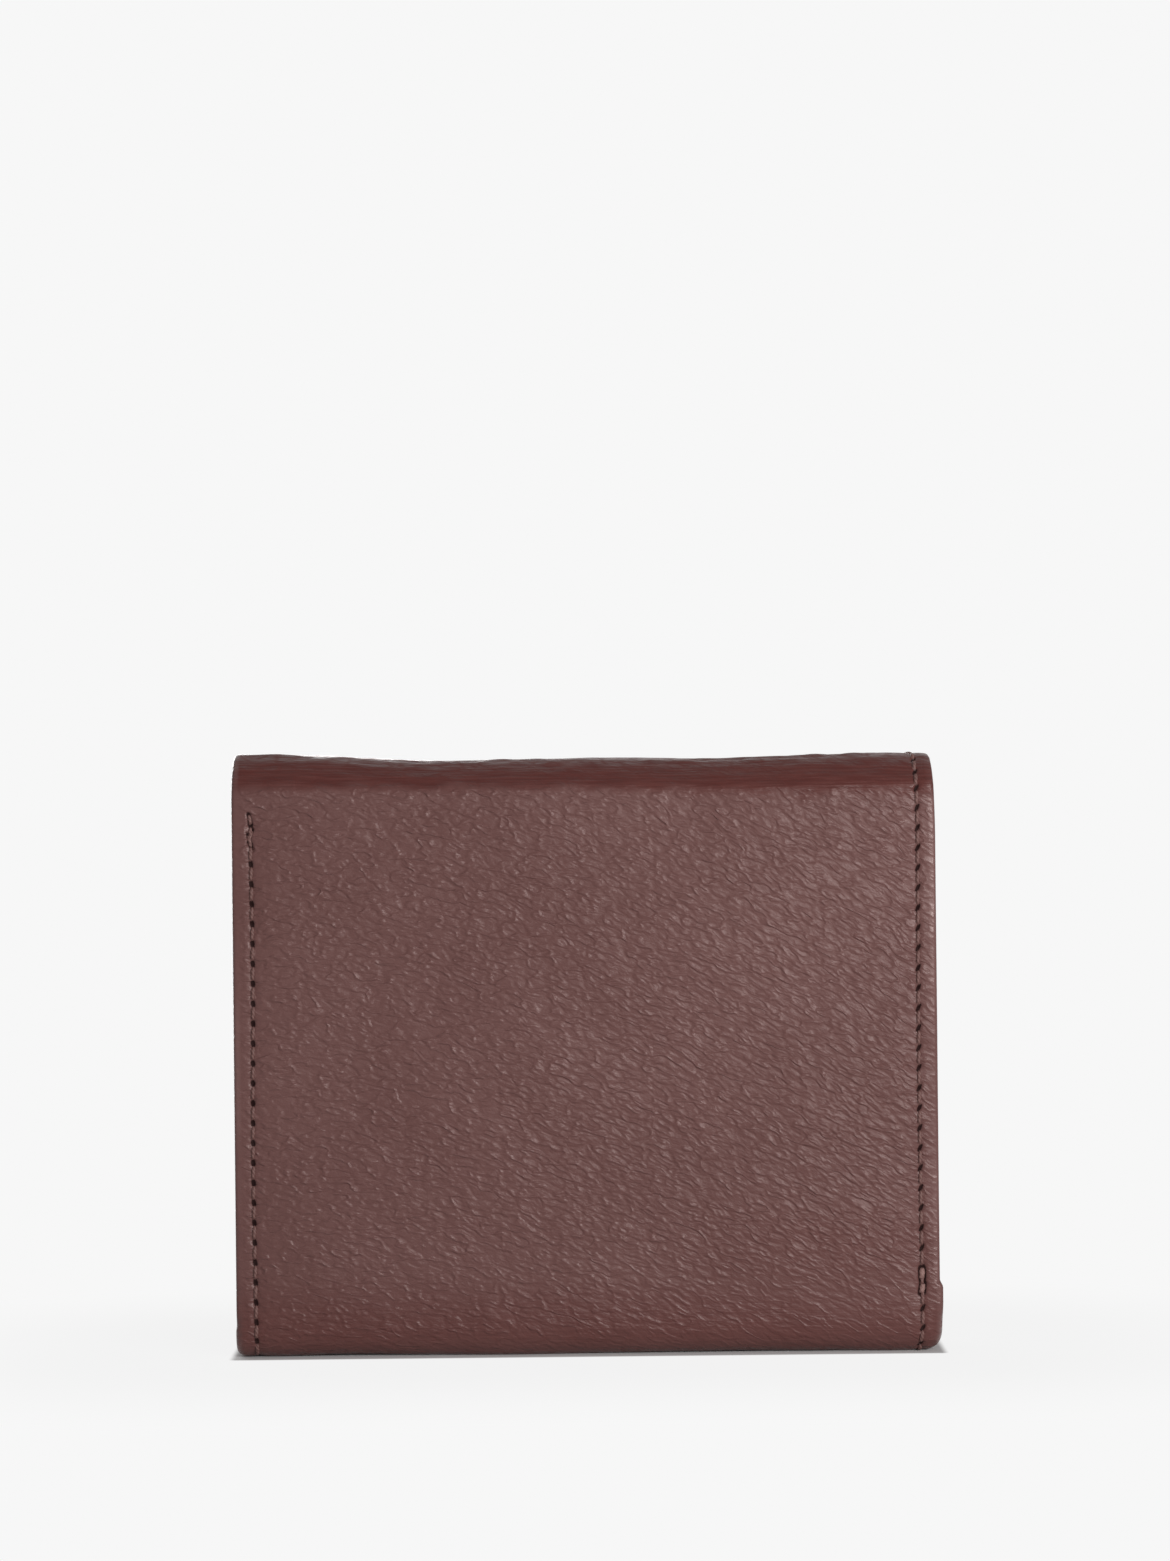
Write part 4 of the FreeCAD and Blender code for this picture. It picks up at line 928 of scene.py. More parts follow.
# %% Thread material
thread, tree, shader = material("waxed_thread", Roughness=0.55, Specular_IOR_Level=0.3)
lay = node(tree, "ShaderNodeUVMap", _uv_map="flat").outputs[0]
stripes = node(tree, "ShaderNodeTexWave", _wave_type="BANDS", _bands_direction="DIAGONAL",
               Vector=lay, Scale=900.0, Distortion=1.5, Detail=2.0)
lump = node(tree, "ShaderNodeAttribute", _attribute_name="lump").outputs["Fac"]
fibre = mixed(tree, stripes.outputs["Fac"], plain(92, 62, 58), plain(116, 85, 80))
sunk = node(tree, "ShaderNodeAttribute", _attribute_name="sunk").outputs["Fac"]
# The fat lumps of thread are coloured lighter.
lighter_lump = mixed(tree, sums(tree, "MULTIPLY", lump, 0.8), fibre, plain(140, 108, 102))
# Painted shade: the thread turns dark where it dives into its hole.
tree.links.new(mixed(tree, ramp(tree, sunk, 0.4, 0.75), lighter_lump, plain(34, 14, 13)),
               shader.inputs["Base Color"])
bumped(tree, shader, 0.6, 0.00006, stripes.outputs["Fac"])
print("thread:", len(tree.nodes), "nodes")

# %% [markdown]
# ## Stitches
# Each stitch is a short arched tube that comes up through one hole and goes down the next. A real
# lockstitch lies a little askew, so each one slants. The outside stitches are cut into the same four
# pieces as the leather.

# %% A row of stitches
THREAD = 0.6
SKEW = 0.16
SECTIONS = 9
RING = 8


def sew(name, stitches, lay, face, up=-1.0, rise=0.13, dive=0.2):
    """Stitches are rows of u0, t0, u1, t1, fatness. lay(u, t, depth) is a place on the sheet and
    face(u, t) the depth they lie on; up is the way out of it, -1 where depth grows inwards. rise is
    how far a stitch stands out at its middle, dive how far its ends go down their holes."""
    u0, t0, u1, t1, fat = np.array(stitches, float).T[:5, :, None, None]
    s = np.linspace(0, 1, SECTIONS)[None, :, None]
    angle = (np.arange(RING) * 2 * math.pi / RING)[None, None, :]
    length = np.hypot(u1 - u0, t1 - t0)
    side_u, side_t = (t1 - t0) / length, (u0 - u1) / length
    arch = np.sin(math.pi * s)
    radius = THREAD / 2 * fat * (0.7 + 0.3 * arch ** 0.5) * (1 + 0.11 * np.cos(2 * angle - 15 * s))
    skew = SKEW * (0.5 - s)
    u = u0 + (u1 - u0) * s + side_u * skew
    t = t0 + (t1 - t0) * s + side_t * skew
    depth = face(u, t) + up * (rise * fat * arch ** 0.6 - dive * (1 - arch) ** 2)
    ring_u = u + side_u * radius * np.cos(angle)
    ring_t = t + side_t * radius * np.cos(angle)
    ring_depth = depth + up * 0.85 * radius * np.sin(angle)
    points = lay(ring_u, ring_t, ring_depth)
    count = len(stitches)
    number = np.arange(count * SECTIONS * RING).reshape(count, SECTIONS, RING)
    beside = np.roll(number, -1, 2)
    skin = np.stack([number[:, :-1], beside[:, :-1], beside[:, 1:], number[:, 1:]], -1).reshape(-1, 4)
    faces = skin.tolist() + number[:, 0, ::-1].tolist() + number[:, -1].tolist()
    flat = np.stack([s * length + 0 * angle, angle * THREAD / 2 + 0 * s * length], -1) * MM
    bright = np.broadcast_to(np.clip(fat - 1, 0, 1) * 3, ring_u.shape)
    # sunk is 1 where a stitch goes down its hole; the thread is painted dark there as shade.
    sunk = np.broadcast_to(1 - arch, ring_u.shape)
    piece = mesh_from(name, points, faces, flat.reshape(-1, 2),
                      {"lump": np.clip(bright, 0, 1), "sunk": sunk})
    outward(piece)
    piece.data.materials.append(thread)
    return piece


def outward(piece):
    """Turns every face outwards, so light falls on the right side."""
    work = bmesh.new()
    work.from_mesh(piece.data)
    bmesh.ops.recalc_face_normals(work, faces=work.faces)
    work.to_mesh(piece.data)
    work.free()
    return piece


# %% Sew the outside
outer = [(u0, t0, u1, t1, 1.0) for u0, t0, u1, t1, _ in OUTER_STITCHES]
outer += [(u0, t0, u1, t1, fat) for u0, t0, u1, t1, _, fat in LUMPS]
THREADS = {
    "flap": ["flap_thread_left", "flap_thread_right", "flap_thread_tip"],
    "back_top": ["back_thread_left", "back_thread_right", "top_thread_right"],
    "back_low": ["base_thread_left", "base_thread_right"],
    "front": ["front_thread_left", "front_thread_right", "front_thread_mouth"],
}
for part, (start, stop) in PARTS.items():
    mine = [row for row in outer if start <= (row[1] + row[3]) / 2 < stop]
    seam = sew("stitches_" + part, mine, on_strip, lambda u, t: face_depth(u, t)[0], rise=0.06,
               dive=0.6)
    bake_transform(seam)
    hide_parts(*THREADS[part])
    print(seam.name, len(mine), "stitches")

# %% [markdown]
# ## Lining
# Inside, a thin cloth covers the stiffening boards and runs on over both folds, close to the
# leather there. It is cut in four as the leather is, except that its cut on the back lies halfway
# up. The boards stay inside it as the frame has them.

# %% Lay the lining
LINING_HALF = box("back_lining")[1][0]
BOARD_TOP = box("back_lining")[1][1] - BACK_Y
FOLD_TOP = box("base_lining")[1][2]
lining_ripple = waves(14, 30, 16)
crease_ripple = waves(12, 40, 1.6)


def lining_faces(u, t):
    on_flap_board = smooth(t, 1.0, 3.0) * (1 - smooth(t, marks[1] - 1.5, marks[1] + 0.5))
    on_back_board = (smooth(t, BACK_T - 0.5, BACK_T + 1.5)
                     * (1 - smooth(t, marks[5] - 1.5, marks[5] + 0.5)))
    on_boards = on_flap_board + on_back_board
    far = FOLD_TOP + (BOARD_TOP - FOLD_TOP) * on_boards
    far = far + 0.05 * wave_height(lining_ripple, u, t) * on_boards
    far = far - 0.05 + 0.05 * wave_height(crease_ripple, u, t) * (1 - on_boards)
    return np.full_like(u, LEATHER - 0.06), far


def lining_edges(t):
    return np.full_like(t, -LINING_HALF), np.full_like(t, LINING_HALF)


MID_BACK_T = z_on_back(45.0)
plain_steps = [0, 0.03, 0.1, 0.22, 0.36, 0.5, 1.2, 2.5]
lining_plan = {
    "flap": (1.2, TOP_T, (True, False), (8.0, 0), ["flap_lining"]),
    "back_top": (TOP_T, MID_BACK_T, (False, False), (0, 0), ["back_lining", "top_lining"]),
    "back_low": (MID_BACK_T, BASE_T, (False, False), (0, 0), ["base_lining"]),
    "front": (BASE_T, FRONT_T + 1.2, (False, True), (0, 0), []),
}
for part, (start, stop, free, corners, nodes) in lining_plan.items():
    rows = spread(start, stop, 0.8, 0.5, free)
    cover = sheet("lining_" + part, rows, plain_steps, 2.0, lining_edges, lining_faces, on_strip,
                  0.5, corners, free)
    cuts = [row for row, is_free in zip((start, stop), free) if not is_free]
    match_normals(cover, cuts, lining_edges, lambda u, t: lining_faces(u, t)[1], far=True)
    cover.data.materials.append(lining_cloth)
    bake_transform(cover)
    if nodes:
        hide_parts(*nodes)
print("lining in", len(lining_plan), "pieces")

# %% [markdown]
# ## Inner leather
# The pockets are of a thinner, smoother leather in the same dye. It has the same grain, but finer
# and pressed nearly flat, and its edges are rubbed lighter where cards and fingers pass.

# %% Inner leather and board materials
inner, tree, shader = material("inner_leather", Specular_IOR_Level=0.3)
lay = node(tree, "ShaderNodeUVMap", _uv_map="flat").outputs[0]
fine_grain = place(tree, grain, Place=lay, Cell=0.0009, Slant=0.2, Stretch=1.2, Warp=0.4)
wear = node(tree, "ShaderNodeAttribute", _attribute_name="wear").outputs["Fac"]
dye = mixed(tree, ramp(tree, fine_grain["Tone"], 0.35, 0.65), plain(90, 60, 55), plain(97, 66, 61))
# Creases are painted darker as shade.
with_inner_crease_shade = mixed(tree, sums(tree, "MULTIPLY", fine_grain["Crease"], 0.3), dye, plain(68, 42, 38))
edge_worn = mixed(tree, sums(tree, "MULTIPLY", wear, 0.5), with_inner_crease_shade, plain(126, 92, 84))
tree.links.new(edge_worn, shader.inputs["Base Color"])
crease_dull = sums(tree, "MULTIPLY_ADD", fine_grain["Crease"], 0.15, 0.48)
tree.links.new(crease_dull, shader.inputs["Roughness"])
bumped(tree, shader, 0.7, 0.00006, fine_grain["Height"])

board, tree, shader = material("bonded_board", Roughness=0.85, Specular_IOR_Level=0.2)
where = node(tree, "ShaderNodeTexCoord").outputs["Object"]
flakes = node(tree, "ShaderNodeTexNoise", Vector=where, Scale=900.0, Detail=5.0, Roughness=0.7)
fibres = mixed(tree, flakes.outputs["Fac"], plain(120, 96, 76), plain(158, 132, 106))
tree.links.new(fibres, shader.inputs["Base Color"])
bumped(tree, shader, 0.5, 0.0001, flakes.outputs["Fac"])
print("inner leather and board ready")

# %% [markdown]
# ## Pockets behind the back
# A note divider and four card pockets lie on each other like stairs, so each shows only its mouth.
# Every leaf is a thin sheet with a rounded edge, a pressed line below the mouth and a seam at both
# sides. All leaves share one slow swell, so they nest and never cut through each other.

# %% Places on the flat panels
leaf_swell = waves(10, 60, 45)


def on_back(u, z, depth):
    return np.stack([u, BACK_Y + depth, z], -1) * MM


def on_flap(u, z, depth):
    return np.stack([u, FLAP_Y - depth, z], -1) * MM


def on_front(u, z, depth):
    return np.stack([u, FRONT_Y - depth, z], -1) * MM


# %% A leaf of leather
LEAF_RIM = 0.25
LEAF_SWELL = 0.05
LEAF_CORNERS = (1.5, 2.0)
PRESSED_LINE = 1.7
leaf_steps = [0, 0.013, 0.05, 0.11, 0.18, LEAF_RIM, 0.8, 1.6]


def leaf(name, node_name, body, lay, face_y, grows):
    """A leaf of leather in the place of a frame node. grows is +1 if depth grows with y, else -1.
    Gives back the depths of its two faces, so that a seam can lie on it."""
    low, high = box(node_name)
    near, far = sorted([(low[1] - face_y) * grows, (high[1] - face_y) * grows])
    mouth = high[2]

    def faces_at(u, z):
        sway = LEAF_SWELL * wave_height(leaf_swell, u, z) * smooth(z, low[2] + 1, low[2] + 14)
        pressed = 0.1 * np.exp(-((np.abs(mouth - z) - PRESSED_LINE) / 0.28) ** 2)
        lip = 0.07 * np.exp(-((np.abs(mouth - z) - PRESSED_LINE / 2.4) / 0.5) ** 2)
        return near + sway + pressed - lip * 0.4, far + sway - pressed + lip

    def sides_at(z):
        return np.full_like(z, low[0]), np.full_like(z, high[0])

    def wear_at(u, z):
        return {"wear": 1 - smooth(np.abs(mouth - z), 0.1, 0.9)}

    rows = spread(low[2], high[2], 1.0, LEAF_RIM, (True, True))
    fine = mouth - np.arange(0.4, 3.0, 0.2)
    rows = np.unique(np.round(np.concatenate([rows, fine]), 3))
    piece = sheet(name, rows, leaf_steps, 2.0, sides_at, faces_at, lay, LEAF_RIM, LEAF_CORNERS,
                  masks=wear_at)
    piece.data.materials.append(inner)
    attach(piece, body)
    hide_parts(node_name)
    return faces_at


# %% Seams on a leaf
FINE_THREAD = 0.8
INNER_PITCH = 2.6


def sew_leaf(name, body, stitches, lay, faces_at):
    """Sews rows of stitches on the far face of a leaf, with finer thread than outside."""
    rows = [(*row, FINE_THREAD) for row in stitches]
    seam = sew(name, rows, lay, lambda u, z: faces_at(u, z)[1], up=1.0, rise=0.1)
    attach(seam, body)


def inner_ends(start, stop):
    """Start and end of each stitch on a straight run inside, all equally long."""
    ends = np.linspace(start, stop, max(1, round((stop - start) / INNER_PITCH)) + 1)
    return zip(ends[:-1], ends[1:])


def upright(u, low, high):
    return [(u, a, u, b) for a, b in inner_ends(low, high)]


def level(z, left, right):
    return [(a, z, b, z) for a, b in inner_ends(left, right)]


def u_seam(half, foot, top):
    """Up both sides and along the foot."""
    return upright(-half, foot, top) + upright(half, foot, top) + level(foot, -half, half)


# %% Cut the pockets
DIVIDER_SEAM_Z = 81.6
DIVIDER_SEAM_HALF = 49.4
POCKET_SEAM_HALF = 47.3
SEAM_ABOVE_FOOT = 1.6
SEAM_ABOVE_MOUTH = 0.7
SEAM_BELOW_MOUTH = 0.9
divider_faces = leaf("bill_divider_leaf", "bill_divider", "back", on_back, BACK_Y, 1)
divider_rows = level(DIVIDER_SEAM_Z, -DIVIDER_SEAM_HALF, DIVIDER_SEAM_HALF)
sew_leaf("bill_divider_stitches", "back", divider_rows, on_back, divider_faces)
mouths = [box("card_pocket_%d" % k)[1][2] for k in (1, 2, 3, 4)]
lowest_seam = box("card_pocket_4")[0][2] + SEAM_ABOVE_FOOT
for k, mouth in enumerate(mouths, 1):
    pocket_faces = leaf("card_pocket_leaf_%d" % k, "card_pocket_%d" % k, "back", on_back, BACK_Y, 1)
    top = mouth - SEAM_BELOW_MOUTH
    if k < 4:
        below = mouths[k] + SEAM_ABOVE_MOUTH
        rows = upright(-POCKET_SEAM_HALF, below, top) + upright(POCKET_SEAM_HALF, below, top)
    else:
        rows = u_seam(POCKET_SEAM_HALF, lowest_seam, top) + upright(0.0, lowest_seam, top)
    sew_leaf("card_pocket_stitches_%d" % k, "back", rows, on_back, pocket_faces)
print("pocket mouths at", [round(float(m), 1) for m in mouths], "mm")

# %% [markdown]
# ## Window frame and film
# On the inside of the flap sits a leather frame with a clear window for a card. The frame is a
# ring, so we can't lay a grid over it. We draw its outline and its window with the same number of
# points and stretch the section, with its rounded edges, from one to the other.


# %% Ring and outline helpers
def rounded_outline(low, high, radius, per_corner=10, along=24):
    """Points of a rounded rectangle, evenly counted, so that two outlines can be joined."""
    points = []
    centres = [(high[0] - radius, high[1] - radius, 0), (low[0] + radius, high[1] - radius, 90),
               (low[0] + radius, low[1] + radius, 180), (high[0] - radius, low[1] + radius, 270)]
    for k, (cx, cy, start) in enumerate(centres):
        arc = np.radians(np.linspace(start, start + 90, per_corner))
        points += [(cx + radius * math.cos(a), cy + radius * math.sin(a)) for a in arc]
        nx, ny, begin = centres[(k + 1) % 4]
        begin = math.radians(begin)
        after = (nx + radius * math.cos(begin), ny + radius * math.sin(begin))
        steps = np.linspace(0, 1, along)[1:-1, None]
        points += (np.array(points[-1]) * (1 - steps) + np.array(after) * steps).tolist()
    return np.array(points)


def lofted(name, loops, closed_section=False, caps=(False, False)):
    """Joins loops of equal count. closed_section joins the last loop to the first."""
    loops = np.array(loops)
    count, around = loops.shape[:2]
    number = np.arange(count * around).reshape(count, around)
    if closed_section:
        number = np.concatenate([number, number[:1]])
    beside = np.roll(number, -1, 1)
    faces = np.stack([number[:-1], beside[:-1], beside[1:], number[1:]], -1).reshape(-1, 4).tolist()
    if caps[0]:
        faces.append(number[0, ::-1].tolist())
    if caps[1]:
        faces.append(number[-1].tolist())
    points = loops.reshape(-1, 3)
    low, high = points.min(0), points.max(0)
    wide = np.argsort(high - low)[1:]
    flat = points[:, sorted(wide)] - low[sorted(wide)]
    return outward(mesh_from(name, points, faces, flat, {}))


# %% Window frame
frame_low, frame_high = box("id_frame")
film_low, film_high = box("id_film")
WINDOW_IN = 6.5
FRAME_CORNER = 2.0
WINDOW_CORNER = 3.0
frame_outer = (frame_low[[0, 2]], frame_high[[0, 2]])
window = (frame_low[[0, 2]] + WINDOW_IN, frame_high[[0, 2]] - WINDOW_IN)
frame_near, frame_far = FLAP_Y - frame_high[1], FLAP_Y - frame_low[1]
middle_depth, half_thick = (frame_near + frame_far) / 2, (frame_far - frame_near) / 2


def round_edge(on_window, turns):
    """The rounded edge of the frame's section: how far in, on which outline, how high."""
    angles = [math.radians(turn) for turn in turns]
    return [(half_thick * (1 - math.sin(a)), on_window, -math.cos(a)) for a in angles]


section = round_edge(0, np.linspace(0, 180, 7))
section += [(1.4, 0, 1), (1.7, 0, 0.72), (2.0, 0, 1), (3.2, 0, 1.06)]
section += [(1.9, 1, 1), (1.5, 1, 0.7), (1.2, 1, 1)]
section += round_edge(1, np.linspace(180, 0, 7))
loops = []
for inset, on_window, height in section:
    grow = inset if on_window else -inset
    base = window if on_window else frame_outer
    radius = (WINDOW_CORNER + grow) if on_window else max(FRAME_CORNER - inset, 0.4)
    outline = rounded_outline(base[0] - grow, base[1] + grow, radius)
    depth = np.full(len(outline), middle_depth + height * half_thick)
    loops.append(on_flap(outline[:, 0], outline[:, 1], depth))
window_frame = lofted("window_frame", loops, closed_section=True)
window_frame.data.materials.append(inner)
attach(window_frame, "flap")
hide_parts("id_frame")
FRAME_SEAM_HALF = 46.2
FRAME_SEAM_IN = 1.8


def on_frame(u, z):
    return frame_far - 0.1 + 0 * u, frame_far + 0 * u


rows = u_seam(FRAME_SEAM_HALF, frame_low[2] + FRAME_SEAM_IN, frame_high[2] - FRAME_SEAM_IN)
sew_leaf("window_frame_stitches", "flap", rows, on_flap, on_frame)
print("window frame:", len(section), "points in its section,", len(rows), "stitches")

# %% Window film
film_swell = waves(8, 34, 26)


def film_faces(u, z):
    bow = 0.012 * wave_height(film_swell, u, z)
    return FLAP_Y - film_high[1] + 0.07 + bow, FLAP_Y - film_low[1] + bow


def film_edges(z):
    return np.full_like(z, film_low[0]), np.full_like(z, film_high[0])


FILM_RIM = 0.09
rows = spread(film_low[2], film_high[2], 1.2, FILM_RIM, (True, True))
window_film = sheet("window_film", rows, [0, 0.02, 0.05, FILM_RIM, 0.6], 1.6, film_edges, film_faces,
                    on_flap, FILM_RIM, (1.5, 1.5))
clear, tree, shader = material("clear_film", IOR=1.45)
shader.inputs["Base Color"].default_value = (0.5, 0.52, 0.53, 1)
lay = node(tree, "ShaderNodeUVMap", _uv_map="flat").outputs[0]
scuffs = node(tree, "ShaderNodeTexNoise", Vector=lay, Scale=90.0, Detail=6.0, Roughness=0.7)
tree.links.new(ramp(tree, scuffs.outputs["Fac"], 0.45, 0.75, 0.08, 0.25), shader.inputs["Roughness"])
slant = node(tree, "ShaderNodeLayerWeight", Blend=0.3).outputs["Fresnel"]
haze = ramp(tree, scuffs.outputs["Fac"], 0.4, 0.8, 0.02, 0.06)
tree.links.new(sums(tree, "ADD", haze, sums(tree, "MULTIPLY", slant, 0.4)), shader.inputs["Alpha"])
window_film.data.materials.append(clear)
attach(window_film, "flap")
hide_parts("id_film")
print("window film:", len(window_film.data.vertices), "points")

# %% [markdown]
# ## Metals
# The snap and the zip's hardware are brass with an aged finish: bright on worn rims, browner in
# recesses. The magnet and the discs are ground steel. One group finds where a metal part is worn
# and gives it fine scratches; each metal then has its own bright and dull colour.

# %% Metal materials
worn_group, worn_in, worn_out = group(
    "edge_wear", [("Place", "Vector", None), ("Spread", "Float", 0.4)],
    [("Worn", "Float"), ("Scratch", "Float")])
at_place = worn_in.outputs["Place"]
patches = node(worn_group, "ShaderNodeTexNoise", Vector=at_place, Scale=480.0, Detail=5.0)
scratches = node(worn_group, "ShaderNodeTexNoise", Vector=at_place, Scale=2600.0, Detail=2.0)
geometry = node(worn_group, "ShaderNodeNewGeometry")
rim = ramp(worn_group, geometry.outputs["Pointiness"], 0.5, 0.58)
worn = sums(worn_group, "MULTIPLY_ADD", patches.outputs["Fac"], 0.8, -0.2)
worn = sums(worn_group, "ADD", sums(worn_group, "ADD", worn, rim), worn_in.outputs["Spread"])
worn_group.links.new(sums(worn_group, "MINIMUM", sums(worn_group, "MAXIMUM", worn, 0.0), 1.0),
                     worn_out.inputs["Worn"])
worn_group.links.new(scratches.outputs["Fac"], worn_out.inputs["Scratch"])


def metal(name, bright, tarnished, spread_by):
    made, tree, shader = material(name, Metallic=1.0)
    where = node(tree, "ShaderNodeTexCoord").outputs["Object"]
    wear = place(tree, worn_group, Place=where, Spread=spread_by)
    aged = mixed(tree, wear["Worn"], plain(*tarnished), plain(*bright))
    tree.links.new(aged, shader.inputs["Base Color"])
    dulled = sums(tree, "MULTIPLY_ADD", wear["Worn"], -0.16, 0.4)
    tree.links.new(dulled, shader.inputs["Roughness"])
    bumped(tree, shader, 0.15, 0.00003, wear["Scratch"])
    return made


brass = metal("antique_brass", (206, 176, 128), (128, 100, 66), 0.2)
steel = metal("ground_steel", (142, 141, 140), (96, 95, 95), 0.2)


# %% Turned pieces
def turned(name, profile, centre, towards, body, finish, nodes, around=72, ring=False):
    """Turned piece: a profile of radius and height, spun round a centre. towards is +1 for +y. A
    ring has an open middle, so its profile closes on itself; any other piece is capped."""
    angles = np.arange(around) * 2 * math.pi / around
    loops = []
    for radius, height in profile:
        x = centre[0] + radius * np.cos(angles)
        z = centre[2] + radius * np.sin(angles)
        loops.append(np.stack([x, np.full(around, centre[1] + towards * height), z], -1) * MM)
    piece = lofted(name, loops, closed_section=ring, caps=(not ring, not ring))
    piece.data.materials.append(finish)
    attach(piece, body)
    if nodes:
        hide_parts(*nodes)
    return piece


def refinish(node_name, finish):
    """Gives a part of the frame, whose shape is right, a better finish."""
    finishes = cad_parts[node_name].data.materials
    finishes.clear()
    finishes.append(finish)


print("metals ready")

# %% [markdown]
# ## Magnetic snap
# One half of the snap is a cup in the flap with a ring magnet in it; the other is a button on a
# leather patch on the front. Both are pressed sheet metal, so they're turned here from a profile
# with rolled rims rather than built from discs.

# %% Snap
case_low, case_high = box("snap_case")
snap_x, snap_z = 0.0, (case_low[2] + case_high[2]) / 2
case_deep = case_high[1] - case_low[1]
case_profile = [
    (0.3, 0.4), (4.0, 0.4), (4.0, case_deep - 0.5), (4.05, case_deep - 0.2), (4.25, case_deep),
    (4.7, case_deep), (5.3, case_deep - 0.12), (5.75, case_deep - 0.5), (5.95, case_deep - 1.0),
    (6.0, 0.5), (6.0, 0.15), (5.9, 0.03), (5.6, 0.0), (0.3, 0.0)]
turned("snap_cup", case_profile, (snap_x, case_high[1], snap_z), -1, "flap", brass,
       ["snap_case"])
magnet_back = box("snap_magnet")[1][1]
magnet_profile = [(3.4, 0.0), (3.4, 1.55), (3.5, 1.6), (5.3, 1.6), (5.4, 1.5), (5.4, 0.1), (5.3, 0.0)]
turned("snap_ring_magnet", magnet_profile, (snap_x, magnet_back, snap_z), -1, "flap", steel,
       ["snap_magnet"], ring=True)
for name in ("snap_rear_disc", "snap_case_washer", "snap_button_washer"):
    refinish(name, steel)
print("snap's centre at height", round(float(snap_z), 1), "mm")

# %% Snap's button and its patch
patch_low, patch_high = box("snap_patch")
button_foot = box("snap_button")[0][1]
flange = patch_high[1] - button_foot
above_flange = [
    (5.6, 0.0), (5.85, 0.1), (6.0, 0.4), (5.9, 0.75), (5.5, 0.98), (4.6, 1.08), (3.6, 1.1), (3.3, 1.25),
    (3.15, 1.7), (2.85, 2.2), (2.5, 2.42), (1.9, 2.5), (0.3, 2.5)]
button_profile = [(1.6, 0.0), (1.6, flange)] + [(r, flange + h) for r, h in above_flange]
turned("snap_stud", button_profile, (snap_x, button_foot, snap_z), 1, "front_panel", brass,
       ["snap_button"])
patch_profile = [
    (0.3, -0.02), (7.7, -0.02), (7.9, 0.12), (8.0, 0.32), (7.95, 0.55), (7.75, 0.72), (7.4, 0.8),
    (7.0, 0.8), (6.8, 0.72), (6.6, 0.8), (5.0, 0.84), (0.3, 0.8)]
turned("snap_leather_patch", patch_profile, (snap_x, patch_low[1], snap_z), 1, "front_panel", inner,
       ["snap_patch"])
PATCH_SEAM = 6.8
PATCH_STITCHES = 18
PATCH_THREAD = 0.75
angles = np.linspace(0, 2 * math.pi, PATCH_STITCHES + 1)
needle_holes = [(PATCH_SEAM * math.cos(a), snap_z + PATCH_SEAM * math.sin(a)) for a in angles]
ring_rows = [(*a, *b, PATCH_THREAD) for a, b in zip(needle_holes[:-1], needle_holes[1:])]
patch_face = patch_high[1] - patch_low[1] - 0.08


def on_patch(u, z, depth):
    return np.stack([u, patch_low[1] + depth, z], -1) * MM


seam = sew("snap_patch_stitches", ring_rows, on_patch, lambda u, z: np.full_like(u, patch_face),
           up=1.0, rise=0.1)
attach(seam, "front_panel")
print("patch sewn with", len(ring_rows), "stitches")

# %% [markdown]
# ## Coin pouch
# Behind the front is a pouch: a cloth lining folded like a U, two folded gussets at its sides and
# a leather leaf behind, which carries a slip pocket. The cloth is a sheet laid along a bent line;
# the gussets are the same, laid along a fold that goes inwards like a bellows.


# %% A bent line
def bent_line(corners, radius):
    """A line through corners, rounded at each one, as evenly spaced points with normals."""
    corners = [np.array(c, float) for c in corners]
    points = [corners[0]]
    for before, here, after in zip(corners[:-2], corners[1:-1], corners[2:]):
        a, b = before - here, after - here
        reach = min(radius, np.linalg.norm(a) * 0.49, np.linalg.norm(b) * 0.49)
        a, b = here + a / np.linalg.norm(a) * reach, here + b / np.linalg.norm(b) * reach
        s = np.linspace(0, 1, 9)[:, None]
        points += list((1 - s) ** 2 * a + 2 * s * (1 - s) * here + s ** 2 * b)
    points.append(corners[-1])
    points = np.array(points)
    run = np.concatenate([[0], np.cumsum(np.linalg.norm(np.diff(points, axis=0), axis=1))])

    def spot(t):
        return np.interp(t, run, points[:, 0]), np.interp(t, run, points[:, 1])

    def at(t):
        a, b = spot(t)
        ahead, behind = spot(t + 0.15), spot(t - 0.15)
        da, db = ahead[0] - behind[0], ahead[1] - behind[1]
        length = np.maximum(np.hypot(da, db), 1e-9)
        return a, b, -db / length, da / length
    return at, run[-1]


# %% A sheet along a bent line
def bent_sheet(name, corners, radius, low, high, thick, plane, finish, node_name, step,
               ripple=0.0, rim=None):
    """A sheet along corners in the plane 'yz' (spread over x) or 'xy' (spread over z), part of the
    front panel. low and high are where it starts and ends across."""
    at, length = bent_line(corners, radius)

    def lay(u, t, depth):
        a, b, na, nb = at(t)
        a, b = a + na * depth, b + nb * depth
        return np.stack([u, a, b] if plane == "yz" else [a, b, u], -1) * MM

    ripples = waves(10, 24, 9)

    def faces_at(u, t):
        sway = ripple * wave_height(ripples, u, t)
        return -thick / 2 + sway, thick / 2 + sway

    def sides_at(t):
        return np.full_like(t, low), np.full_like(t, high)

    rim = rim or thick / 2
    rows = spread(0, length, step, rim, (True, True))
    steps = [0, rim * 0.1, rim * 0.4, rim, rim + 0.8]
    piece = sheet(name, rows, steps, 1.6, sides_at, faces_at, lay, rim)
    piece.data.materials.append(finish)
    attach(piece, "front_panel")
    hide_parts(node_name)


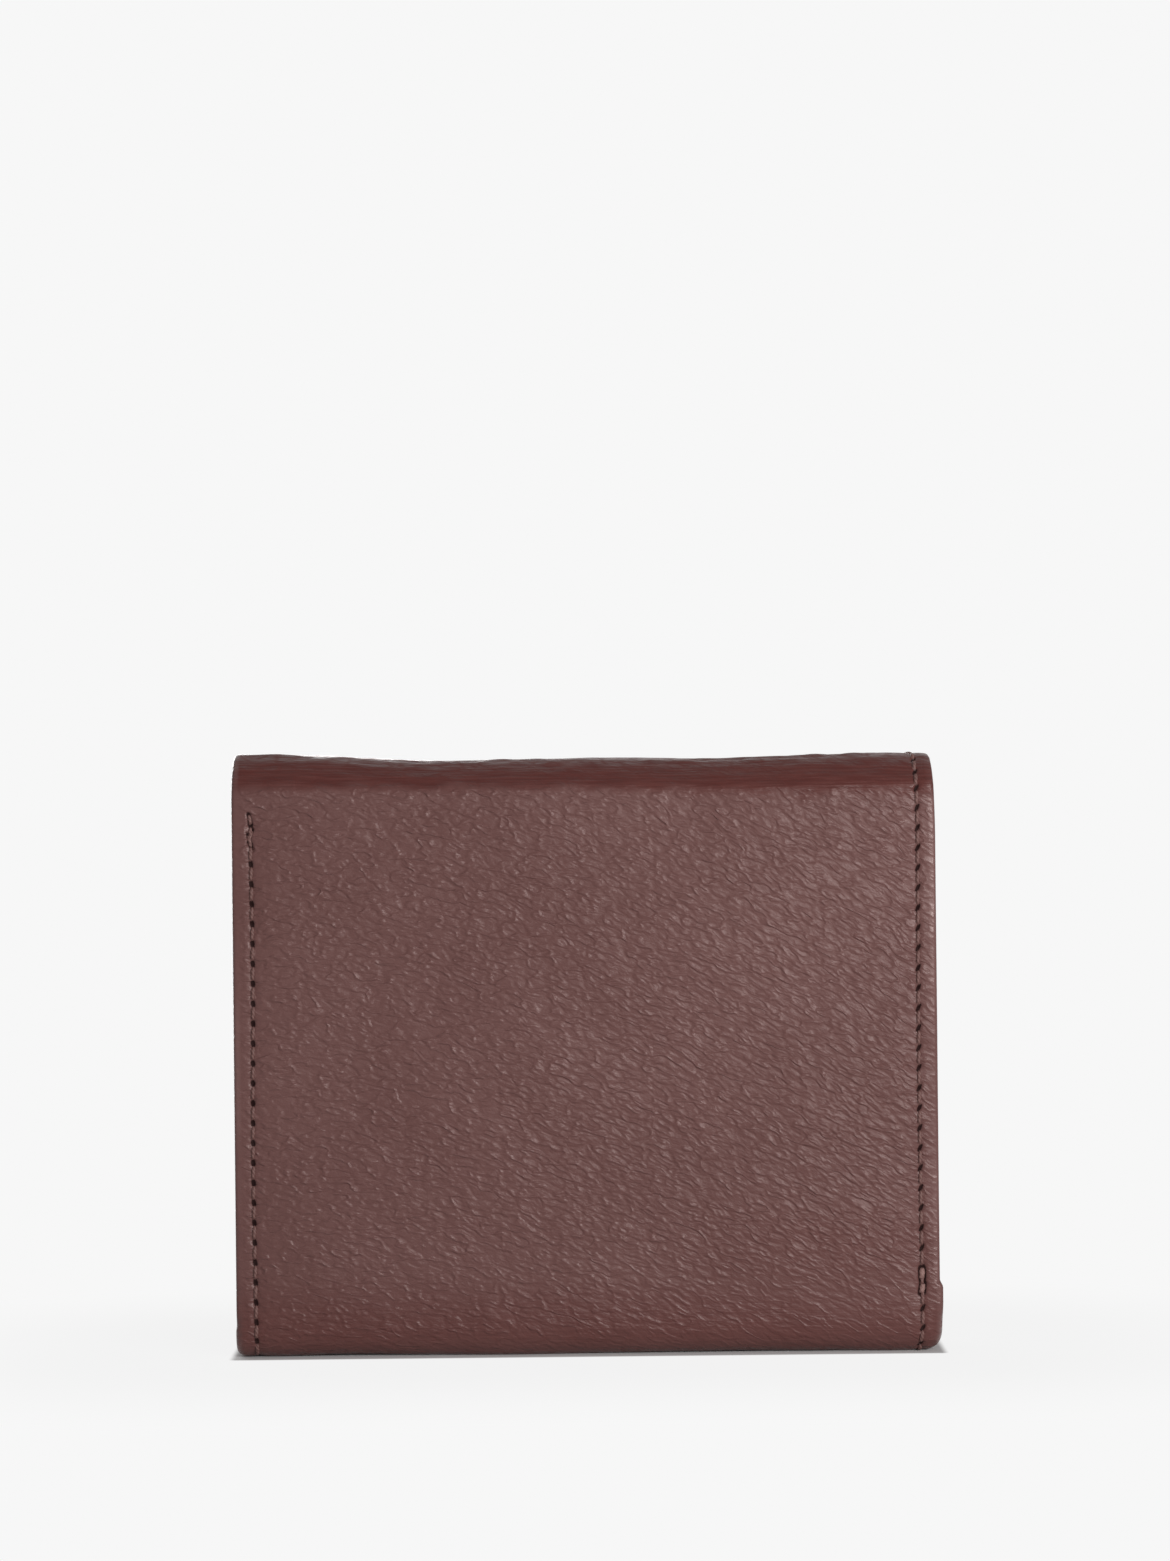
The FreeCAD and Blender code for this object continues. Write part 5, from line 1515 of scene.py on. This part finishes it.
# %% Pouch, gussets and slip pocket
pouch_low, pouch_high = box("pouch_lining")
front_leaf_y, rear_leaf_y = pouch_high[1] - 0.2, pouch_low[1] + 0.2
pouch_top, pouch_floor = pouch_high[2], pouch_low[2] + 0.2
pouch_bends = [(front_leaf_y, pouch_top), (front_leaf_y, pouch_floor), (rear_leaf_y, pouch_floor),
               (rear_leaf_y, pouch_top)]
bent_sheet("pouch_cloth", pouch_bends, 1.4, pouch_low[0], pouch_high[0], 0.4, "yz", lining_cloth,
           "pouch_lining", step=1.0)
for side, name in ((-1, "gusset_left"), (1, "gusset_right")):
    low, high = box(name)
    outer_x = side * max(abs(low[0]), abs(high[0])) - side * 0.4
    inner_x = side * min(abs(low[0]), abs(high[0])) + side * 0.45
    gusset_bends = [(outer_x, high[1] - 0.25), (inner_x, (low[1] + high[1]) / 2),
                    (outer_x, low[1] + 0.25)]
    bent_sheet(name + "_bellows", gusset_bends, 1.3, low[2], high[2], 0.5, "xy", lining_cloth,
               name, step=0.4, ripple=0.04)
leaf("pouch_backing_leaf", "pouch_backing", "front_panel", on_front, FRONT_Y, -1)
slip_faces = leaf("slip_pocket_leaf", "slip_pocket", "front_panel", on_front, FRONT_Y, -1)
slip_low, slip_high = box("slip_pocket")
SLIP_SEAM_HALF = 47.8
rows = u_seam(SLIP_SEAM_HALF, slip_low[2] + 1.5, slip_high[2] - SEAM_BELOW_MOUTH)
sew_leaf("slip_pocket_stitches", "front_panel", rows, on_front, slip_faces)
print("pouch", round(float(pouch_top - pouch_low[2]), 1), "mm deep")

# %% [markdown]
# ## Zip
# The pouch shuts with a coil zip. Each tape is a strip of firm cloth that turns down into the
# pouch. The teeth are one nylon thread wound in a long spring; the two springs mesh when the
# slider has passed. A helix shows that, where a row of blocks would not.

# %% Tapes
for side, name in ((1, "zip_tape_front"), (-1, "zip_tape_rear")):
    low, high = box(name)
    edge_y, leg_y = (low[1], high[1] - 0.25) if side > 0 else (high[1], low[1] + 0.25)
    top_z = high[2] - 0.25
    tape_bends = [(edge_y, top_z), (leg_y, top_z), (leg_y, low[2])]
    bent_sheet(name + "_cloth", tape_bends, 0.7, low[0], high[0], 0.46, "yz", tape_cloth,
               name, step=0.4, rim=0.12)

print("two tapes laid")

# %% Coils
nylon, tree, shader = material("zip_nylon", Specular_IOR_Level=0.4)
where = node(tree, "ShaderNodeTexCoord").outputs["Object"]
dust = node(tree, "ShaderNodeTexNoise", Vector=where, Scale=1500.0, Detail=3.0)
dusty = mixed(tree, dust.outputs["Fac"], plain(62, 42, 38), plain(84, 60, 54))
tree.links.new(dusty, shader.inputs["Base Color"])
tree.links.new(ramp(tree, dust.outputs["Fac"], 0.3, 0.7, 0.32, 0.5), shader.inputs["Roughness"])
COIL_PITCH = 1.5
WIRE = 0.62
WIRE_SIDES = 6
STEPS_A_TURN = 14


def coil(name, node_name):
    """A wire wound along x in an oval that fills the coil's box. Gives back its count of turns."""
    low, high = box(node_name)
    centre = (low + high) / 2
    half_y, half_z = (high[1] - low[1] - WIRE) / 2, (high[2] - low[2] - WIRE) / 2
    turns = int((high[0] - low[0] - WIRE) / COIL_PITCH)
    steps = turns * STEPS_A_TURN
    phase = np.linspace(0, turns * 2 * math.pi, steps + 1)
    x = np.linspace(low[0] + WIRE / 2, high[0] - WIRE / 2, steps + 1)
    y = centre[1] + half_y * np.cos(phase)
    z = centre[2] + half_z * np.sin(phase)
    path = np.stack([x, y, z], -1)
    ahead = np.gradient(path, axis=0)
    ahead /= np.linalg.norm(ahead, axis=1, keepdims=True)
    out = np.stack([0 * x, np.cos(phase) / half_y, np.sin(phase) / half_z], -1)
    out -= (out * ahead).sum(1, keepdims=True) * ahead
    out /= np.linalg.norm(out, axis=1, keepdims=True)
    across = np.cross(ahead, out)
    angles = (np.arange(WIRE_SIDES) * 2 * math.pi / WIRE_SIDES)[None, :, None]
    loops = path[:, None] + WIRE / 2 * (out[:, None] * np.cos(angles) + across[:, None] * np.sin(angles))
    piece = lofted(name, loops * MM, caps=(True, True))
    piece.data.materials.append(nylon)
    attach(piece, "front_panel")
    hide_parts(node_name)
    return turns


for node_name in ("zip_coil_front", "zip_coil_rear"):
    print(node_name, "has", coil(node_name + "_wire", node_name), "turns")

# %% [markdown]
# ## Stops, slider and pull
# These are cast or stamped, so every edge is a little round. Each starts as an outline pulled to a
# thickness, and a bevel then rounds its edges. The slider is wide at its nose, where the tapes come
# apart, and narrow at its tail, where they lie side by side. The pull hangs on a pin between two
# ears and ends in a leather tab.


# %% Bevelled metal pieces
FLAT = (0, 1, 2)
UPRIGHT = (0, 2, 1)


def bevelled(name, parts, width, body, node_name, segments=3):
    """Joins brass parts, each an outline pulled from low to high with its edges rounded. The axes say
    where an outline's two numbers and its thickness go: FLAT lies level, UPRIGHT faces along y."""
    work = bmesh.new()
    for outline, low, high, axes in parts:
        part = bmesh.new()
        bottom, top = [], []
        for a, b in outline:
            for height, row in ((low, bottom), (high, top)):
                spot = [0.0, 0.0, 0.0]
                spot[axes[0]], spot[axes[1]], spot[axes[2]] = a * MM, b * MM, height * MM
                row.append(part.verts.new(spot))
        part.faces.new(bottom[::-1])
        part.faces.new(top)
        for k in range(len(bottom)):
            after = (k + 1) % len(bottom)
            part.faces.new((bottom[k], bottom[after], top[after], top[k]))
        bmesh.ops.recalc_face_normals(part, faces=part.faces)
        sharp = [e for e in part.edges if len(e.link_faces) == 2 and e.calc_face_angle() > 0.6]
        bmesh.ops.bevel(part, geom=sharp, offset=width * MM, segments=segments, profile=0.5,
                        affect="EDGES")
        scrap = bpy.data.meshes.new("scrap")
        part.to_mesh(scrap)
        part.free()
        work.from_mesh(scrap)
        bpy.data.meshes.remove(scrap)
    mesh = bpy.data.meshes.new(name)
    work.to_mesh(mesh)
    work.free()
    mesh.polygons.foreach_set("use_smooth", np.ones(len(mesh.polygons), bool))
    mesh.set_sharp_from_angle(angle=math.radians(40))
    piece = bpy.data.objects.new(name, mesh)
    bpy.context.scene.collection.objects.link(piece)
    piece.data.materials.append(brass)
    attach(piece, body)
    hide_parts(node_name)
    print(name, "has", len(mesh.polygons), "faces")


def slab(low, high):
    """The four corners of a block's outline."""
    return [(low[0], low[1]), (high[0], low[1]), (high[0], high[1]), (low[0], high[1])]


for name in ("zip_end_stop", "zip_top_stop_front", "zip_top_stop_rear"):
    low, high = box(name)
    clamp = (slab(low[:2], high[:2]), low[2], high[2], FLAT)
    bevelled(name + "_clamp", [clamp], 0.3, "front_panel", name)

# %% [markdown]
# ## Slider
# A slider is two plates joined by a wedge at its nose, with a rim along each side that keeps the
# coils in, and two ears on top that hold the pull's pin. We draw each of these as a flat outline in
# its own direction, pull it to its thickness, round its edges and join them all into one piece.

# %% Slider measures and outlines
slider_low, slider_high = box("zip_slider")
pull_low, pull_high = box("zip_pull")
tab_low, tab_high = box("pull_tab")
coil_low, coil_high = box("zip_coil_front")
zip_y = (slider_low[1] + slider_high[1]) / 2
slider_x = (slider_low[0] + slider_high[0]) / 2
pin_z = (pull_low[2] + pull_high[2]) / 2
PLATE = 0.9
top_plate_z = coil_high[2] + 0.2
low_plate_z = coil_low[2] - 0.2
tail, nose = slider_low[0], slider_high[0]
reach = (slider_high[1] - slider_low[1]) / 2


def mirrored(half, middle=()):
    """An outline round the zip's middle line, from the points on one side of it."""
    other = [(x, -y) for x, y in reversed(half)]
    return [(x, zip_y + y) for x, y in (*half, *middle, *other)]


def head(radius, centre_x, centre_z, foot_z, half_width):
    """An ear seen from the side: a round head on a wider foot."""
    angles = np.radians(np.linspace(-20, 200, 15))
    arc = [(centre_x + radius * math.cos(a), centre_z + radius * math.sin(a)) for a in angles]
    return arc + [(centre_x - half_width, foot_z), (centre_x + half_width, foot_z)]


def disc(radius, a, b, count=24):
    angles = np.arange(count) * 2 * math.pi / count
    return [(a + radius * math.cos(k), b + radius * math.sin(k)) for k in angles]


plate = mirrored([(tail, -1.9), (tail + 0.5, -2.15), (slider_x - 1.2, -2.3), (nose - 1.6, -reach),
                  (nose - 0.5, -reach * 0.92), (nose, -1.6), (nose - 0.4, -0.7)], [(nose - 0.55, 0)])
print("slider", round(float(nose - tail), 1), "mm long,", round(float(2 * reach), 1), "mm wide")

# %% Slider
parts = [(plate, top_plate_z, top_plate_z + PLATE, FLAT), (plate, low_plate_z - PLATE, low_plate_z, FLAT)]
for side in (-1, 1):
    across = sorted((zip_y + side * 2.15, zip_y + side * (reach - 0.1)))
    side_rim = slab((slider_x - 1.0, across[0]), (nose - 1.2, across[1]))
    parts.append((side_rim, top_plate_z - 0.5, top_plate_z + 0.4, FLAT))
    parts.append((side_rim, low_plate_z - 0.4, low_plate_z + 0.5, FLAT))
    ear = head(1.25, slider_x, pin_z, top_plate_z + PLATE - 0.25, 1.6)
    parts.append((ear, *sorted((zip_y + side * 1.5, zip_y + side * 2.25)), UPRIGHT))
parts.append((disc(0.55, slider_x, pin_z), zip_y - 2.4, zip_y + 2.4, UPRIGHT))
wedge = slab((slider_x + 1.5, zip_y - 0.1), (nose - 0.9, zip_y + 0.1))
parts.append((wedge, low_plate_z - 0.3, top_plate_z + 0.3, FLAT))
bevelled("zip_slider_body", parts, 0.09, "zip_slider", "zip_slider", segments=2)

# %% [markdown]
# ## Pull link and its eye
# The link is a stamped strip that widens towards the slider. Its eye goes round the slider's pin,
# so the pull can swing over from one side of the slider to the other.

# %% Pull link and its eye
wide = (pull_high[1] - pull_low[1]) / 2
link = mirrored([(pull_low[0], -0.85), (tab_high[0] - 0.6, -0.85), (tab_high[0] + 0.8, -wide + 0.1),
                 (slider_x - 0.7, -wide + 0.05)])
bevelled("zip_pull_link", [(link, pin_z - 0.55, pin_z + 0.55, FLAT)], 0.16, "zip_pull", "zip_pull")
half_eye = [(0.64, 1.0), (0.72, 1.25), (1.12, 1.29), (1.28, 1.1)]
eye_profile = [*half_eye, (1.3, 0.0), *[(radius, -y) for radius, y in reversed(half_eye)]]
turned("zip_pull_eye", eye_profile, (slider_x, zip_y, pin_z), 1, "zip_pull", brass, [],
       around=40, ring=True)
print("pull link", round(float(slider_x - pull_low[0]), 1), "mm from pin to tip")

# %% [markdown]
# ## Leather tab
# The tab is a strip of the outside leather folded round the end of the metal link and sewn shut
# along its border. It's thick over the metal and pinched at the seam.

# %% Tab
tab_centre_y = (tab_low[1] + tab_high[1]) / 2
tab_z = (tab_low[2] + tab_high[2]) / 2
tab_half = (tab_high[1] - tab_low[1]) / 2
TAB_RIM = 0.55
TAB_SEAM_IN = 0.95


def on_tab(y, x, depth):
    return np.stack([x, y, tab_z + depth], -1) * MM


def tab_faces(y, x):
    """Thick over the metal, pinched at the border, with a groove along the seam."""
    edge = np.minimum(tab_half - np.abs(y - tab_centre_y), x - tab_low[0])
    over_metal = smooth(x, tab_high[0] - 5, tab_high[0] - 1)
    swell = 1.12 - 0.32 * (1 - smooth(edge, 0.4, 1.9)) + 0.12 * over_metal
    dip = 0.1 * np.exp(-((edge - TAB_SEAM_IN) / 0.3) ** 2)
    return -(swell - dip), swell - dip


def tab_edges(x):
    return np.full_like(x, tab_low[1]), np.full_like(x, tab_high[1])


rows = spread(tab_low[0], tab_high[0], 0.35, TAB_RIM, (True, True))
tab_steps = [0, 0.03, 0.1, 0.24, 0.4, TAB_RIM, 0.75, TAB_SEAM_IN, 1.15, 1.4]
tab = sheet("pull_tab_leather", rows, tab_steps, 0.35, tab_edges, tab_faces, on_tab, TAB_RIM, (1.9, 0.8))
tab.data.materials.append(shell)
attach(tab, "zip_pull")
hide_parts("pull_tab")
print("tab", round(float(tab_high[0] - tab_low[0]), 1), "mm long")

# %% Tab's stitches, and the boards' finish
TAB_THREAD = 0.6
ends = np.linspace(tab_low[0] + 1.6, tab_high[0] - 0.8, 6)
rows = []
for seam_y in (tab_centre_y - (tab_half - TAB_SEAM_IN), tab_centre_y + (tab_half - TAB_SEAM_IN)):
    rows += [(seam_y, a, seam_y, b, TAB_THREAD) for a, b in zip(ends[:-1], ends[1:])]
end_x = tab_low[0] + TAB_SEAM_IN
rows += [(tab_centre_y - tab_half + 1.3, end_x, tab_centre_y + tab_half - 1.3, end_x, TAB_THREAD)]
for name, up, which in (("top", 1.0, 1), ("under", -1.0, 0)):
    seam = sew("pull_tab_stitches_" + name, rows, on_tab, lambda y, x: tab_faces(y, x)[which], up, 0.08)
    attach(seam, "zip_pull")
for name in ("back_board", "flap_board"):
    refinish(name, board)
still_shown = [o.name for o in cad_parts.values() if not o.hide_render]
print("frame nodes still shown:", still_shown)

# %% [markdown]
# ## Light, floor and camera
# The wallet stands upright before a pale backdrop. One wide soft lamp stands before its back, to
# the right and a little higher, so the back is evenly lit and the grain's slopes show. A second one
# stands on the far side, for the flap. The floor and the world are pale only for what the camera,
# gloss and glass see; the lamps and a weak grey world light the leather. The floor turns from its
# own colour to pale away from the wallet, so it keeps the wallet's shadow.

# %% Floor
PALE = 0.93
DIM = 0.16
FLOOR = 4000
floor_corners = slab((-FLOOR, -FLOOR), (FLOOR, FLOOR))
floor_mesh = bpy.data.meshes.new("floor")
floor_mesh.from_pydata([metres(x, y, 0) for x, y in floor_corners], [], [(0, 1, 2, 3)])
floor = bpy.data.objects.new("floor", floor_mesh)
bpy.context.scene.collection.objects.link(floor)


def seen_directly(tree):
    """1 for what the camera, gloss and glass see, 0 for what lights a surface."""
    path = node(tree, "ShaderNodeLightPath").outputs
    seen = sums(tree, "MAXIMUM", path["Is Camera Ray"], path["Is Glossy Ray"])
    return sums(tree, "MAXIMUM", seen, path["Is Transmission Ray"])


paper, tree, shader = material("pale_floor", Roughness=0.9, Specular_IOR_Level=0.0)
shader.inputs["Base Color"].default_value = (0.8, 0.8, 0.8, 1)
glow = node(tree, "ShaderNodeEmission", Color=(PALE, PALE, PALE, 1), Strength=1.0)
spot = node(tree, "ShaderNodeTexCoord").outputs["Object"]
either_side = node(tree, "ShaderNodeVectorMath", _operation="ABSOLUTE", i0=spot).outputs[0]
beyond = node(tree, "ShaderNodeVectorMath", _operation="SUBTRACT", i0=either_side,
              i1=metres(FRONT_HALF, FLAP_Y, 0)).outputs[0]
outside = node(tree, "ShaderNodeVectorMath", _operation="MAXIMUM", i0=beyond, i1=(0, 0, 0)).outputs[0]
away = node(tree, "ShaderNodeVectorMath", _operation="LENGTH", i0=outside).outputs["Value"]
near_off = ramp(tree, away, 0.0, 0.0013, 0.0, 0.93)
far_off = sums(tree, "ADD", near_off, ramp(tree, away, 0.012, 0.07, 0.0, 0.07))
pale_share = sums(tree, "MULTIPLY", seen_directly(tree), far_off)
floor_look = node(tree, "ShaderNodeMixShader", i0=pale_share, i1=shader.outputs[0], i2=glow.outputs[0])
tree.links.new(floor_look.outputs[0], tree.nodes["Material Output"].inputs["Surface"])
floor_mesh.materials.append(paper)
print("floor", round(2 * FLOOR * MM), "metres wide")

# %% World
world = bpy.data.worlds.new("studio")
bpy.context.scene.world = world
world.use_nodes = True
tree = world.node_tree
sky = tree.nodes["Background"]
sky.inputs["Color"].default_value = (1, 1, 1, 1)
strength = sums(tree, "MULTIPLY_ADD", seen_directly(tree), PALE - DIM, DIM)
tree.links.new(strength, sky.inputs["Strength"])
print("world strength", DIM, "on surfaces and", PALE, "where it is seen")


# %% Lamps
def lamp(name, size, power, where, towards):
    light = bpy.data.lights.new(name, "AREA")
    light.shape = "RECTANGLE"
    light.size, light.size_y = size[0] * MM, size[1] * MM
    light.energy = power
    made = bpy.data.objects.new(name, light)
    made.location = metres(*where)
    aim = Vector(metres(*towards)) - made.location
    made.rotation_euler = aim.to_track_quat("-Z", "Y").to_euler()
    bpy.context.scene.collection.objects.link(made)


MIDDLE = (0, 0, 45)
lamp("front_softbox", (360, 150), 2.76, (270, -500, 165), MIDDLE)
lamp("back_softbox", (420, 260), 2.6, (-230, 520, 140), MIDDLE)
print("two lamps set")

# %% [markdown]
# ## Camera
# The camera looks level at the back from some way off with a long lens, so upright edges stay
# upright. It is rolled by a little over half a degree, so the wallet leans that much in view.

# %% Camera
LENS = 100.0
SENSOR = 36.0
FIELD = 234.15
EYE_Z = 86.35
ROLL = 0.6
distance = FIELD / SENSOR * LENS
camera_data = bpy.data.cameras.new("camera")
camera_data.lens = LENS
camera_data.sensor_width = SENSOR
camera = bpy.data.objects.new("camera", camera_data)
camera.location = metres(SWELL, BACK_Y - distance, EYE_Z)
camera.rotation_euler = (math.radians(90), math.radians(ROLL), 0)
bpy.context.scene.collection.objects.link(camera)
bpy.context.scene.camera = camera
bpy.context.scene.view_settings.view_transform = "Standard"
print("camera", round(float(distance)), "mm from the back")
